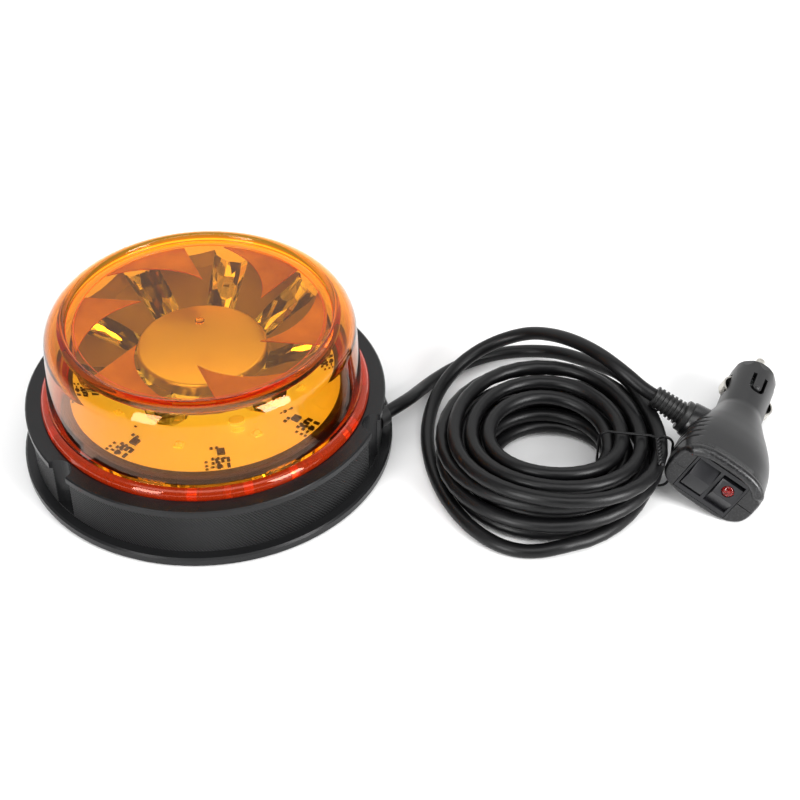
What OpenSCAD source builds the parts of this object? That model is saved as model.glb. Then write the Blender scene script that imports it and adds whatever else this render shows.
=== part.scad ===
// Amber warning beacon on a magnetic base, with a coiled cord and a 12 V plug
// Millimetres, +Z up, origin on the beacon's axis at the surface it stands on

/* [Base] */
// Width of the rim outside the wall
rim_w = 4.4; // [3:0.1:6]
// Height of the rim's underside above the surface
rim_lift = 0.6; // [0.4:0.1:1.2]
// Height of the rim's top above the surface
rim_top = 5; // [4:0.1:5.5]
// Overhang of the deck past the hatched wall
deck_lip = 1.5; // [1:0.1:2]
// Width of the deck round the lens
deck_w = 6.9; // [6.4:0.1:8]
// Height of the deck's top
deck_top = 28.4; // [28:0.1:31]
// Thickness of the deck's edge
deck_t = 3; // [2:0.1:4]
// Width of the ledge that carries the chassis
ledge_w = 4; // [3:0.1:6]
// Thickness of the floor between magnet and wiring
web_t = 1.5; // [1.2:0.1:2]
// Width of a half-round notch
notch_w = 12; // [9:0.5:13]
// Number of notches
notch_count = 3; // [2:1:4]
// Direction of the first notch, in degrees
notch_angle = 222.5; // [212:0.5:232]

/* [Magnet] */
// Thickness of the rubber pad
pad_t = 1.6; // [1.2:0.1:2]
// Distance of the rubber pad's edge inside the rim's
pad_in = 2; // [2:0.1:5]
// Outer radius of the ring magnet
magnet_r = 62; // [50:0.5:64]
// Radius of the hole in the magnet
magnet_hole_r = 26; // [24:0.5:32]
// Thickness of the magnet
magnet_t = 4.5; // [4:0.1:5]
// Width of the steel pole plate outside the magnet
pole_lip = 4; // [3:0.1:5]
// Thickness of the pole plate
pole_t = 1.5; // [1:0.1:1.6]
// Distance of the magnet's screws from the axis
magnet_screw_pcr = 18; // [14:0.5:19]

/* [Lens] */
// Largest radius of the bead at the lens's foot
bead_r = 70.2; // [69.8:0.1:70.5]
// Height of the bead above its seat
bead_h = 6.5; // [5.5:0.1:7]
// Depth of the lens's seat below the deck
lens_seat_depth = 2; // [1.5:0.1:2.5]
// Width of the lens's foot
foot_w = 7.8; // [7.4:0.1:8]
// Step from the bead in to the lens's wall
skirt_step = 2.8; // [2.4:0.1:3.2]
// How far the lens's wall leans in up to the shoulder
wall_draft = 2.1; // [1.4:0.1:3]
// Rounding of the shoulder
shoulder_round = 11.6; // [9:0.1:13]
// Height of the lens's crest
lens_top = 70.4; // [69:0.1:76]
// Wall of the lens
lens_wall = 2.6; // [2:0.1:3]
// Depth of the round recess in the top
top_recess = 3.8; // [3:0.1:4.4]
// Width of the raised border round the recess
crest_w = 9.7; // [9:0.1:10.4]
// Number of frosted blades
blade_count = 6; // [4:1:7]
// Distance of a blade's tip from the axis
blade_tip_r = 29.3; // [26:0.1:34]
// Direction of the first blade's tip, in degrees
blade_angle = 33; // [0:0.5:60]
// Angle that a blade takes on its outer circle, in degrees
blade_span = 41; // [30:0.5:45]
// Lead of a blade's straight edge, in degrees
blade_lead = 9.5; // [6:0.5:12]
// Thickness of a blade
blade_t = 0.6; // [0.4:0.1:1]
// Width of the seal's groove
seal_w = 1.6; // [1.2:0.1:1.8]
// Depth of the seal's groove
seal_h = 1.5; // [1.2:0.1:1.8]
// Distance of the lens's screws from the foot's inner edge
lens_screw_in = 2.6; // [2.2:0.1:2.8]
// Number of lens screws
lens_screw_count = 3; // [2:1:4]

/* [Light] */
// Distance of the chassis's foot inside the lens's foot
chassis_gap = 0.4; // [0.3:0.1:1]
// Height of the ledge that the chassis stands on
chassis_seat = 22; // [20:0.1:23]
// Width of the chassis's foot round its pedestal
chassis_foot = 2.5; // [1.5:0.1:3.5]
// Thickness of the chassis
chassis_t = 2; // [1.5:0.1:2.4]
// Overhang of the circuit board past the pedestal
board_over = 0.5; // [0:0.1:1]
// Height of the circuit board's top
board_top = 33.5; // [32:0.1:35]
// Thickness of the circuit board
board_t = 1.6; // [1:0.1:2]
// Distance of the board's screws from the axis
board_screw_pcr = 34; // [32:0.5:36]
// Number of lamps, with one scoop each
lamp_count = 8; // [6:1:9]
// Direction of the first lamp, in degrees
lamp_angle = 35; // [0:0.5:45]
// Distance of the lamps from the axis
lamp_pcr = 42; // [40:0.5:44]
// Side of a lamp's case
lamp_w = 3.5; // [2.8:0.1:4]
// Radius of the reflector's hub
hub_r = 26.5; // [24:0.1:28]
// Height of the hub's top
hub_top = 51.5; // [50:0.1:53]
// Height of the hub's skirt
hub_skirt = 7; // [5:0.1:8]
// Radius of the reflector's stem
stem_r = 11; // [9:0.1:13]
// Distance of the scoops from the lens's wall
scoop_side = 8.7; // [7.7:0.1:12]
// Distance of the scoops' outer edge from the blades
scoop_gap = 2.4; // [1.6:0.1:4.7]
// Depth of a scoop
scoop_depth = 5; // [3:0.1:6]
// Wall of the reflector
reflector_wall = 1.8; // [1.4:0.1:2.4]

/* [Cord] */
// Diameter of the cord
cord_d = 6; // [5:0.1:6.2]
// Place of the cord's exit round the base, in degrees
exit_angle = 0; // [-2:0.5:4]
// Turn of the cord's exit from straight out, in degrees
exit_skew = 38; // [30:0.5:40]
// Height of the cord's exit
exit_z = 13; // [13:0.1:16]
// Number of layers in the coil
coil_layers = 4; // [2:2:4]
// Turns of each layer, without its drop
coil_turns = 2.685; // [1.685:1:3.685]
// Largest radius of the coil's middle line
coil_out_r = 45.5; // [44:0.5:46]
// Smallest radius of the coil's middle line
coil_in_r = 24.5; // [24:0.5:25]
// Height from one layer to the next
coil_step = 6.5; // [6.5:0.1:6.8]
// Thickness of the tie's wire
tie_d = 1.1; // [0.8:0.1:1.2]

/* [Plug] */
// Radius of the plug's barrel
barrel_r = 10.5; // [10.3:0.05:10.6]
// Distance from the face to the barrel's end
barrel_end = 74; // [73:0.1:76]
// Length of the nose cap
nose_l = 6.3; // [5:0.1:8]
// Wall of the plug's shells
shell_wall = 2; // [1.6:0.1:2.2]
// Distance from the face to the cord's arm
arm_y = 29.2; // [28:0.1:30]
// Radius of the arm's end
arm_r = 7.6; // [7.2:0.1:8.2]
// Distance from the plug's axis to the arm's end
arm_x = 20.6; // [20:0.1:22]
// Number of ribs on the strain relief
rib_count = 7; // [5:1:8]
// Distance from one rib to the next
rib_pitch = 2.05; // [1.9:0.05:2.2]
// Radius of the ribs at the collar
rib_r = 5.4; // [5.2:0.1:6]
// Width of the switch bezel
bezel_w = 25; // [24.8:0.1:26]
// Height of the switch bezel
bezel_h = 21.5; // [20:0.1:22]
// Distance of the bezel's middle to the right of the plug's axis
bezel_x = 0.6; // [0:0.1:1.2]
// Distance of the bezel's middle above the plug's axis
bezel_z = 0.6; // [0:0.1:1.2]
// Depth of the switch bezel
bezel_d = 9; // [8.6:0.1:10]
// Width of a rocker
rocker_w = 10; // [9.4:0.1:10.2]
// Height of a rocker
rocker_h = 15.4; // [14:0.1:16]
// Distance between the rockers' middles
rocker_pitch = 12.2; // [12:0.05:12.6]
// Tilt of a rocker to either side, in degrees
rocker_tilt = 7; // [4:0.5:8]
// Radius of the indicator lens
indicator_r = 2.7; // [2:0.1:3]
// Travel of the tip contact
tip_travel = 2.5; // [1.5:0.1:3]
// Radius of the tip contact
tip_r = 3.9; // [3.4:0.1:4.2]
// Travel of a side clip
clip_travel = 1.6; // [1:0.1:1.8]
// Width of a side clip
clip_w = 4.6; // [3.6:0.1:5]
// Height that a side clip stands out of the barrel
clip_out = 2.1; // [1.7:0.1:2.4]

/* [Hidden] */
$fn = 96;

// Clearances: a screw in its thread, a running fit, a seated piece and a piece that moves past another
thread_gap = 0.05;
run_gap = 0.05;
seat_gap = 0.2;
move_gap = 0.3;
eps = 0.01;

// Radii, from the lens's bead outwards and then inwards
deck_r = bead_r + deck_w;
wall_r = deck_r - deck_lip;
rim_r = wall_r + rim_w;
pad_r = rim_r - pad_in;
pole_r = magnet_r + pole_lip;
skirt_r = bead_r - skirt_step;
shoulder_r = skirt_r - wall_draft;
recess_r = shoulder_r - crest_w;
scoop_r = shoulder_r - lens_wall - scoop_side;
foot_in_r = bead_r - foot_w;
lens_screw_pcr = foot_in_r + lens_screw_in;
chassis_r = foot_in_r - chassis_gap;
chamber_r = chassis_r - ledge_w;
pedestal_r = chassis_r - chassis_foot;
board_r = pedestal_r + board_over;

// Heights in the base
pole_z = pad_t + magnet_t;
web_z = pole_z + pole_t;
chamber_z = web_z + web_t;
lens_seat = deck_top - lens_seat_depth;
foot_top = lens_seat + bead_h;
board_z = board_top - board_t;
top_z = lens_top - top_recess;
top_in_z = top_z - lens_wall;
scoop_top = top_in_z - blade_t - scoop_gap;

// Screw sizes
screw_r = 1.95;
screw_head_r = 3.4;
screw_head_h = 2.2;
fine_screw_r = 1.4;
fine_head_r = 2.7;
screw_bite = 6;
boss_wall = 2.4;
screw_spare = 1;
edge_break = 0.8;
deck_break = 0.6;
notch_web = 0.4;
notch_lift = 0.4;
seal_r = bead_r - 1.8;
magnet_screw_count = 3;
board_screw_count = 3;
board_screw_angle = 57.5;
stem_screw_count = 3;
stem_screw_pcr = 6;
lens_screw_drop = 9;
lens_screw_turn = 60;

// Grommet sizes, along the exit's own line from the wall
grommet_r = 4.1;
flange_r = 5.4;
flange_sink = 3.4;
flange_out = 1.8;
flange_taper = 0.8;
cord_gap = 0.05;
cord_r = cord_d / 2;
cord_inside = 6;
exit_depth = wall_r * cos(exit_skew) - sqrt(pow(chamber_r, 2) - pow(wall_r * sin(exit_skew), 2));
grommet_short = 6;
grommet_in = exit_depth - grommet_short;
cord_start = exit_depth + cord_inside;
wire_r = 1;
wire_gap = 3;
wire_run = 8;

// Plug sizes
neck_y = 49.5;
neck_step = 0.2;
neck_r = barrel_r + neck_step;
shell_sections = [[0, 18.9, 20.2, 16.1, 12.3, 3], [1, 19.6, 20.9, 16.8, 12.9, 3],
    [4, 19.8, 21.1, 17.1, 13.1, 3], [15, 19.6, 20.6, 16.3, 13, 2.9], [23.5, 18.6, 19.2, 15, 12.6, 2.7],
    [31.5, 16.4, 16.8, 13.3, 12.1, 2.5], [38.5, 13.6, 13.9, 11.9, 11.4, 2.3],
    [44.5, 11.6, 11.7, 11, 10.9, 2.1], [neck_y, neck_r, neck_r, neck_r, neck_r, 2]];
shell_sides = 40;
bulkhead_y = 44;
bulkhead_t = 2;
pocket_d = 14;
carrier_t = 2.5;
carrier_y = bezel_d;
barrel_in_r = barrel_r - shell_wall;
cap_wall = 2.5;
cap_end = barrel_end + seat_gap + nose_l;
cap_neck = 2;
cap_neck_wall = 1.8;
cap_break = 1.2;
cap_step = 0.3;
cap_r = barrel_r - cap_step;
tip_flange_r = 4.9;
tip_flange_t = 2;
tip_step = 4;
tip_point_r = 2.2;
tip_point = 10;
tip_round = 1;
fuse_r = 2.5;
fuse_l = 20;
spring_wire_r = 0.35;
spring_turns = 6;
tip_back = cap_end - cap_wall - seat_gap - tip_flange_t;
fuse_y = tip_back - fuse_l;
clip_y = barrel_end - 10;
clip_half = 6.3;
clip_t = 0.7;
clip_foot = 1.2;
clip_seat = sqrt(pow(barrel_in_r, 2) - pow(clip_w / 2, 2)) - move_gap;
clip_out_x = barrel_r + clip_out;
sleeve_gap = 0.5;
sleeve_wall = 1.6;
sleeve_web = 1.6;
sleeve_in_r = fuse_r + sleeve_gap;
sleeve_r = min(sleeve_in_r + sleeve_wall, clip_seat - clip_t - clip_travel - move_gap);
sleeve_short = 6;
sleeve_end = tip_back - tip_travel - sleeve_short;
clip_rise = clip_out_x - clip_seat;
clip_round = (pow(clip_half, 2) + pow(clip_rise, 2)) / (2 * clip_rise);
pivot_y = 5.2;
pivot_r = 1.1;
pivot_reach = 0.6;
rocker_swing = sin(rocker_tilt) * pivot_y;
opening_h = rocker_h + 2 * (rocker_swing + seat_gap);
opening_w = rocker_w + 2 * move_gap;
rocker_ridge = 2.4;
rocker_sink = 0.3;
rocker_back = 6.6;
rocker_back_h = 12.4;
indicator_z = 3.9;
indicator_y = rocker_sink - rocker_ridge * (1 - 2 * indicator_z / rocker_h);
indicator_proud = 0.7;
facet_a = atan(2 * rocker_ridge / rocker_h);
indicator_ball_r = 3.4;
indicator_out = 0.1;
indicator_depth = 3.4;
plug_screw_ys = [22, 38];
plug_screw_head_r = 2.7;
plug_screw_head_h = 2;
plug_screw_l = 15;
arm_root_x = 8;
arm_root_r = 9.4;
collar_r = 7;
collar_t = 2.6;
relief_root_r = 4.5;
relief_neck_r = 4.6;
relief_neck_l = 4.5;
relief_flange_r = 6.2;
relief_flange_t = 2;
rib_taper = 0.9;
root_taper = 0.4;
collar_break = 0.4;
relief_end_x = arm_x + collar_t + rib_count * rib_pitch;
relief_in_x = arm_x - relief_neck_l - relief_flange_t;
cord_end_x = relief_in_x - 1.5;
tab_y = barrel_end - 9;
tab_l = 11;
tab_w = 4.4;
tab_slot = 1.4;

// Where the plug lies: its face's middle, its turn from +Y, its dip and its roll
plug_at = [211.4, -49.5, 17.2];
plug_yaw = 22;
plug_dip = 3;
plug_roll = 25.5;

// Routes of the cord's free stretches, on the surface and over the coil
lead_route = [[83, 7, 12.6], [88, 14.5, 10.4], [93.2, 25, 6.6], [100, 35.5, 4], [109, 44.4, 3.2],
    [120, 51, 3.2], [132, 54.8, 3.4], [144, 54.4, 4.8], [155, 49.6, 7.8], [165, 40, 12], [174, 28, 17.2],
    [180, 18, 21.4], [184, 8, 24]];
tail_route = [[140.5, -73.6, 3.6], [132, -73, 3.2], [123.5, -69.4, 3.2], [115, -62, 3.2], [107, -50.5, 3.2],
    [101, -37, 3.2], [97, -21.5, 3.2], [95.4, -5.5, 3.6], [96.6, 9, 5], [101, 22.4, 7.8], [109, 33.8, 11.6],
    [119, 40.6, 16], [130, 42.4, 21.2], [141, 39.4, 27], [151, 31, 32.8], [161, 19.4, 37.6], [170, 8, 39.8],
    [178.6, -1.2, 38.4]];
coil_at = [146.7, -25];
coil_z = 4.6;
coil_angle = 15;
rings_per_loop = 24;
coil_sides = 6;
cord_sides = 10;
tie_angle = -8;
tie_gap = 0.4;
tie_corner = 4;
tie_twist_r = 0.8;
tie_twist_l = 16;
tie_twists = 4;
tie_open = 5.6;
tie_lift = 0.9;
tie_start = 2;

// Vectors, turns and the plug's frame
function unit(v) = v / norm(v);
function turn_x(v, a) = [v.x, v.y * cos(a) - v.z * sin(a), v.y * sin(a) + v.z * cos(a)];
function turn_y(v, a) = [v.x * cos(a) + v.z * sin(a), v.y, v.z * cos(a) - v.x * sin(a)];
function turn_z(v, a) = [v.x * cos(a) - v.y * sin(a), v.x * sin(a) + v.y * cos(a), v.z];
function plug_turn(v) = turn_z(turn_x(turn_y(v, plug_roll), -plug_dip), -plug_yaw);
function plug_point(v) = plug_at + plug_turn(v);
function on_circle(r, a, z) = [r * cos(a), r * sin(a), z];

// A tube through points, with its rings square to the path and a flat end at each end
function path_dir(p, i) = unit(p[min(i + 1, len(p) - 1)] - p[max(i - 1, 0)]);
function ring_at(p, i, r, sides, ref) =
    let (d = path_dir(p, i), side = unit(cross(d, ref)), up = cross(side, d))
    [for (k = [0:sides - 1]) p[i] + r * (cos(360 * k / sides) * side + sin(360 * k / sides) * up)];

function strip_faces(rows, sides) = [for (i = [0:rows - 2], k = [0:sides - 1], half = [0, 1])
    let (a = i * sides + k, b = i * sides + (k + 1) % sides)
    half == 0 ? [a, b, a + sides] : [b, b + sides, a + sides]];

module skin(rings) {
    sides = len(rings[0]);
    rows = len(rings);
    start_cap = [for (k = [1:sides - 2]) [0, k + 1, k]];
    last = (rows - 1) * sides;
    end_cap = [for (k = [1:sides - 2]) [last, last + k, last + k + 1]];
    polyhedron([for (ring = rings) each ring], concat(strip_faces(rows, sides), start_cap, end_cap));
}

module tube(path, r, sides, ref = [0, 0, 1]) {
    skin([for (i = [0:len(path) - 1]) ring_at(path, i, r, sides, ref)]);
}

// The coil: each layer winds in or out at a steady rate, and drops in the half turn where it reverses
coil_period = coil_turns + 0.5;
coil_total = coil_layers * coil_period - 0.5;
function ease(t) = t * t * (3 - 2 * t);
function coil_radius(layer, t) =
    let (s = min(t / coil_turns, 1), inward = layer % 2 == 0)
    inward ? coil_out_r + (coil_in_r - coil_out_r) * s : coil_in_r + (coil_out_r - coil_in_r) * s;
function coil_level(layer, t) = coil_layers - 1 - layer
    - (t > coil_turns ? ease((t - coil_turns) / 0.5) : 0);
function coil_point(turn) =
    let (layer = min(floor(turn / coil_period), coil_layers - 1), t = turn - layer * coil_period,
        r = coil_radius(layer, t), a = coil_angle - 360 * turn)
    [coil_at.x + r * cos(a), coil_at.y + r * sin(a), coil_z + coil_step * coil_level(layer, t)];
coil_steps = round(coil_total * rings_per_loop);
coil_loops = [for (i = [0:coil_steps]) coil_point(coil_total * i / coil_steps)];
coil_start_dir = [sin(coil_angle), -cos(coil_angle), 0];
coil_end_angle = coil_angle - 360 * coil_total;
coil_end_dir = [sin(coil_end_angle), -cos(coil_end_angle), 0];
coil_start = coil_loops[0] - cord_d * coil_start_dir;
coil_end = coil_loops[coil_steps] + cord_d * coil_end_dir;
coil_path = concat([coil_start], coil_loops, [coil_end]);
coil_gap = min([for (i = [0:coil_steps], j = [i + rings_per_loop / 2:1:coil_steps])
    norm(coil_loops[i] - coil_loops[j])]) - cord_d;
echo(str("least gap of the coil to itself, mm: ", coil_gap));

// The free stretches run straight out of the grommet, the coil's ends and the strain relief
exit_dir = on_circle(1, exit_angle + exit_skew, 0);
exit_at = on_circle(wall_r, exit_angle, exit_z);
lead_path = concat([exit_at - cord_start * exit_dir, exit_at + flange_out * exit_dir], lead_route,
    [coil_start - cord_d * coil_start_dir, coil_start]);
relief_mouth = plug_point([-relief_end_x - cord_d, arm_y, 0]);
tail_end = plug_point([-cord_end_x, arm_y, 0]);
tail_path = concat([coil_end, coil_end + cord_d * coil_end_dir], tail_route,
    [relief_mouth, plug_point([-relief_end_x, arm_y, 0]), tail_end]);

// The tie goes round the coil's right side and ends in a twist on top
tie_in_r = coil_in_r - cord_r - tie_gap - tie_d / 2;
tie_out_r = coil_out_r + cord_r + tie_gap + tie_d / 2;
tie_low = coil_z - cord_r - tie_gap - tie_d / 2;
tie_high = coil_z + (coil_layers - 1) * coil_step + cord_r + tie_gap + tie_d / 2;
function tie_point(r, z) = [coil_at.x + r * cos(tie_angle), coil_at.y + r * sin(tie_angle), z];
function tie_arc(r, z, from) = [for (k = [0:4]) let (a = from + 22.5 * k)
    tie_point(r + tie_corner * cos(a), z + tie_corner * sin(a))];
tie_side = [sin(tie_angle), -cos(tie_angle), 0];
tie_out = [cos(tie_angle), sin(tie_angle), 0];
tie_dir = unit(tie_side + 0.1 * tie_out + [0, 0, -0.02]);
tie_across = unit(cross(tie_dir, [0, 0, 1]));
tie_root = tie_point(tie_out_r - tie_corner - tie_open / 2, tie_high + tie_lift) + tie_start * tie_dir;
function tie_strand(phase) = [for (k = [0:tie_twists * 8]) let (a = 45 * k + phase)
    tie_root + tie_twist_l * k / (tie_twists * 8) * tie_dir
    + tie_twist_r * (cos(a) * tie_across + sin(a) * cross(tie_dir, tie_across))];
tie_first = tie_strand(0);
tie_loop = concat(
    [tie_point(tie_out_r - tie_corner - tie_open, tie_high)],
    tie_arc(tie_in_r + tie_corner, tie_high - tie_corner, 90),
    tie_arc(tie_in_r + tie_corner, tie_low + tie_corner, 180),
    tie_arc(tie_out_r - tie_corner, tie_low + tie_corner, 270),
    tie_arc(tie_out_r - tie_corner, tie_high - tie_corner, 0));
tie_path = concat([for (k = [len(tie_first) - 1:-1:0]) tie_first[k]], tie_loop, tie_strand(180));

// A screw with its head's seat at z = 0 and its shank up
module screw(r, head_r, head_h, l) {
    translate([0, 0, -head_h]) cylinder(r = head_r, h = head_h);
    translate([0, 0, -eps]) cylinder(r = r, h = l + eps);
}

module ring_of(count, r, from = 0) {
    for (k = [0:count - 1]) rotate(from + 360 * k / count) translate([r, 0, 0]) children();
}

// The exit's own frame: its line is Z, from the wall out
module exit_frame() {
    translate(on_circle(wall_r, exit_angle, exit_z)) rotate([0, 90, exit_angle + exit_skew]) children();
}

module plug_frame() {
    translate(plug_at) rotate([0, 0, -plug_yaw]) rotate([-plug_dip, 0, 0])
        rotate([0, plug_roll, 0]) children();
}

// The switches' frame: the middle of the bezel's front
module switch_frame() {
    plug_frame() translate([bezel_x, 0, bezel_z]) children();
}

// A cylinder along the plug's axis, from one distance behind the face to another
module along_y(r, from, to) {
    translate([0, from, 0]) rotate([-90, 0, 0]) cylinder(r = r, h = to - from);
}

module rubber_pad() color("#2b2b2d") cylinder(r = pad_r, h = pad_t);

module ring_magnet() color("#4a4a4e") translate([0, 0, pad_t]) difference() {
    cylinder(r = magnet_r, h = magnet_t);
    translate([0, 0, -1]) cylinder(r = magnet_hole_r, h = magnet_t + 2);
}

module pole_plate() color("#b9bcc0") translate([0, 0, pole_z]) difference() {
    cylinder(r = pole_r, h = pole_t);
    ring_of(magnet_screw_count, magnet_screw_pcr) translate([0, 0, -1])
        cylinder(r = screw_r + seat_gap, h = pole_t + 2);
}

module magnet_screws() color("#c8c9cc") ring_of(magnet_screw_count, magnet_screw_pcr)
    translate([0, 0, pole_z])
        screw(screw_r, screw_head_r, screw_head_h, pole_t + web_t + screw_bite - 2 * screw_spare);

module base_body() {
    rotate_extrude($fn = 180) polygon([[0, web_z], [pole_r + seat_gap, web_z], [pole_r + seat_gap, pad_t],
        [pad_r + seat_gap, pad_t], [pad_r + seat_gap, rim_lift], [rim_r - edge_break, rim_lift],
        [rim_r, rim_lift + edge_break], [rim_r, rim_top - edge_break], [rim_r - edge_break, rim_top],
        [wall_r, rim_top], [wall_r, deck_top - deck_t - edge_break], [deck_r, deck_top - deck_t],
        [deck_r, deck_top - deck_break], [deck_r - deck_break, deck_top], [bead_r + seat_gap, deck_top],
        [bead_r + seat_gap, lens_seat],
        [chassis_r + seat_gap, lens_seat], [chassis_r + seat_gap, chassis_seat],
        [chamber_r, chassis_seat], [chamber_r, chamber_z], [0, chamber_z]]);
    ring_of(magnet_screw_count, magnet_screw_pcr) translate([0, 0, chamber_z - eps])
        cylinder(r = screw_r + boss_wall, h = screw_bite);
    ring_of(board_screw_count, board_screw_pcr, board_screw_angle) translate([0, 0, chamber_z - eps])
        cylinder(r = screw_r + boss_wall, h = board_z - chassis_t - chamber_z + eps);
}

module base_shell() color("#1f1f21") difference() {
    base_body();
    ring_of(notch_count, bead_r + seat_gap + notch_web + notch_w / 2, notch_angle) 
        translate([0, 0, rim_top + notch_lift]) {
        cylinder(d = notch_w, h = deck_top);
        translate([0, -notch_w / 2, 0]) cube([notch_w, notch_w, deck_top]);
    }
    ring_of(lens_screw_count, lens_screw_pcr, notch_angle + lens_screw_turn) {
        translate([0, 0, web_z - 1])
            cylinder(r = fine_head_r + seat_gap, h = lens_seat - lens_screw_drop - web_z + 1);
        cylinder(r = fine_screw_r + seat_gap, h = deck_top);
    }
    ring_of(magnet_screw_count, magnet_screw_pcr) translate([0, 0, web_z - 1])
        cylinder(r = screw_r + thread_gap, h = web_t + screw_bite);
    ring_of(board_screw_count, board_screw_pcr, board_screw_angle)
        translate([0, 0, board_z - chassis_t - screw_bite])
            cylinder(r = screw_r + thread_gap, h = screw_bite + 1);
    difference() {
        translate([0, 0, lens_seat - seal_h]) cylinder(r = seal_r, h = seal_h + 1);
        translate([0, 0, lens_seat - seal_h - 1]) cylinder(r = seal_r - seal_w, h = seal_h + 3);
    }
    exit_frame() {
        translate([0, 0, -exit_depth - grommet_r * 2]) cylinder(r = grommet_r + run_gap, h = rim_r);
        translate([0, 0, -flange_sink]) cylinder(r = flange_r + seat_gap, h = rim_r);
    }
}

module chassis_plate() color("#26262a") difference() {
    rotate_extrude($fn = 180) polygon([
        [0, board_z - chassis_t], [pedestal_r - chassis_t, board_z - chassis_t],
        [pedestal_r - chassis_t, chassis_seat], [chassis_r, chassis_seat],
        [chassis_r, chassis_seat + chassis_t],
        [pedestal_r, chassis_seat + chassis_t], [pedestal_r, board_z], [0, board_z]]);
    ring_of(board_screw_count, board_screw_pcr, board_screw_angle)
        cylinder(r = screw_r + seat_gap, h = board_top);
    ring_of(stem_screw_count, stem_screw_pcr) cylinder(r = fine_screw_r + seat_gap, h = board_top);
    exit_frame() translate([0, 0, -cord_start - wire_run]) rotate([0, -90, 0])
        cylinder(r = wire_gap + wire_r, h = board_top);
}

module circuit_board() color("#f2f0ea") difference() {
    translate([0, 0, board_z]) cylinder(r = board_r, h = board_t);
    ring_of(board_screw_count, board_screw_pcr, board_screw_angle)
        cylinder(r = screw_r + seat_gap, h = lens_top);
    ring_of(stem_screw_count, stem_screw_pcr) cylinder(r = fine_screw_r + seat_gap, h = lens_top);
}

// A lamp: a flat square case with a round lens
lamp_h = 0.8;
lamp_edge = 0.35;

module lamp() {
    translate([-lamp_w / 2, -lamp_w / 2, 0]) cube([lamp_w, lamp_w, lamp_h]);
    intersection() {
        translate([0, 0, lamp_h]) sphere(d = lamp_w - 2 * lamp_edge, $fn = 32);
        translate([-lamp_w, -lamp_w, lamp_h - eps]) cube([2 * lamp_w, 2 * lamp_w, lamp_w]);
    }
}

module led_emitters() color("#f6e27a") ring_of(lamp_count, lamp_pcr, lamp_angle)
    translate([0, 0, board_top]) lamp();

// One driver group: a square chip, a row of small parts behind it and two beside it
chip_w = 3.2;
chip_h = 1.1;
small_w = 1.3;
small_l = 2.4;
small_h = 0.6;
group_in = 13;
group_r = board_r - group_in;
row_x = 3.8;
row_pitch = 2.3;
pair_x = 7.4;
pair_pitch = 2;

module driver_group() {
    translate([-chip_w / 2, -chip_w / 2, 0]) cube([chip_w, chip_w, chip_h]);
    for (k = [-1, 0, 1])
        translate([row_x, row_pitch * k - small_w / 2, 0]) cube([small_l, small_w, small_h]);
    for (k = [-1, 1])
        translate([pair_x, pair_pitch * k - small_w / 2, 0]) cube([small_l, small_w, small_h]);
}

module driver_chips() color("#202022") ring_of(lamp_count, group_r, lamp_angle - 180 / lamp_count)
    translate([0, 0, board_top]) driver_group();

module board_screws() color("#c8c9cc") ring_of(board_screw_count, board_screw_pcr, board_screw_angle)
    translate([0, 0, board_top]) mirror([0, 0, 1]) screw(screw_r, screw_head_r, screw_head_h,
        board_t + chassis_t + screw_bite - screw_spare);

// The scoops: a sheet that rises outwards and arches over each lamp
scoop_in_r = hub_r - reflector_wall;
scoop_low = hub_top - hub_skirt + reflector_wall;
hub_in_r = scoop_in_r - 0.4;
hub_break = 0.5;
scoop_rows = 5;
scoop_cells = 12;
function arch(a) = abs(cos((a - lamp_angle) * lamp_count / 2));
function scoop_z(s, a) = scoop_low + (scoop_top - scoop_low) * s
    + scoop_depth * (arch(a) - 1) * sin(150 * s + 30) * s;
function scoop_ring(s, drop) = [for (k = [0:lamp_count * scoop_cells - 1])
    let (a = lamp_angle + 360 * k / (lamp_count * scoop_cells), r = scoop_in_r + (scoop_r - scoop_in_r) * s)
    on_circle(r, a, scoop_z(s, a) - drop)];

module scoops() {
    sides = lamp_count * scoop_cells;
    rings = concat([for (i = [0:scoop_rows]) scoop_ring(i / scoop_rows, 0)],
        [for (i = [scoop_rows:-1:0]) scoop_ring(i / scoop_rows, reflector_wall)]);
    rows = len(rings);
    faces = [for (i = [0:rows - 1], k = [0:sides - 1], half = [0, 1])
        let (a = i * sides + k, b = i * sides + (k + 1) % sides,
            c = (i + 1) % rows * sides + k, d = (i + 1) % rows * sides + (k + 1) % sides)
        half == 0 ? [a, b, c] : [b, d, c]];
    polyhedron([for (ring = rings) each ring], faces);
}

module reflector() color("#d9d9dc") difference() {
    union() {
        scoops();
        rotate_extrude() polygon([[0, board_top], [stem_r, board_top], [stem_r, hub_top - reflector_wall],
            [hub_in_r, hub_top - reflector_wall], [hub_in_r, hub_top - hub_skirt],
            [hub_r, hub_top - hub_skirt], [hub_r, hub_top - hub_break], [hub_r - hub_break, hub_top],
            [0, hub_top]]);
    }
    ring_of(stem_screw_count, stem_screw_pcr) translate([0, 0, board_top - 1])
        cylinder(r = fine_screw_r + thread_gap, h = screw_bite + 1 + screw_spare);
}

module reflector_screws() color("#c8c9cc") ring_of(stem_screw_count, stem_screw_pcr)
    translate([0, 0, board_z - chassis_t])
        screw(fine_screw_r, fine_head_r, screw_head_h, chassis_t + board_t + screw_bite);

module lens_seal() color("#111112") translate([0, 0, lens_seat - seal_h + thread_gap]) difference() {
    cylinder(r = seal_r - thread_gap, h = seal_h - 2 * thread_gap);
    translate([0, 0, -1]) cylinder(r = seal_r - seal_w + thread_gap, h = seal_h + 2);
}

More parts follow.
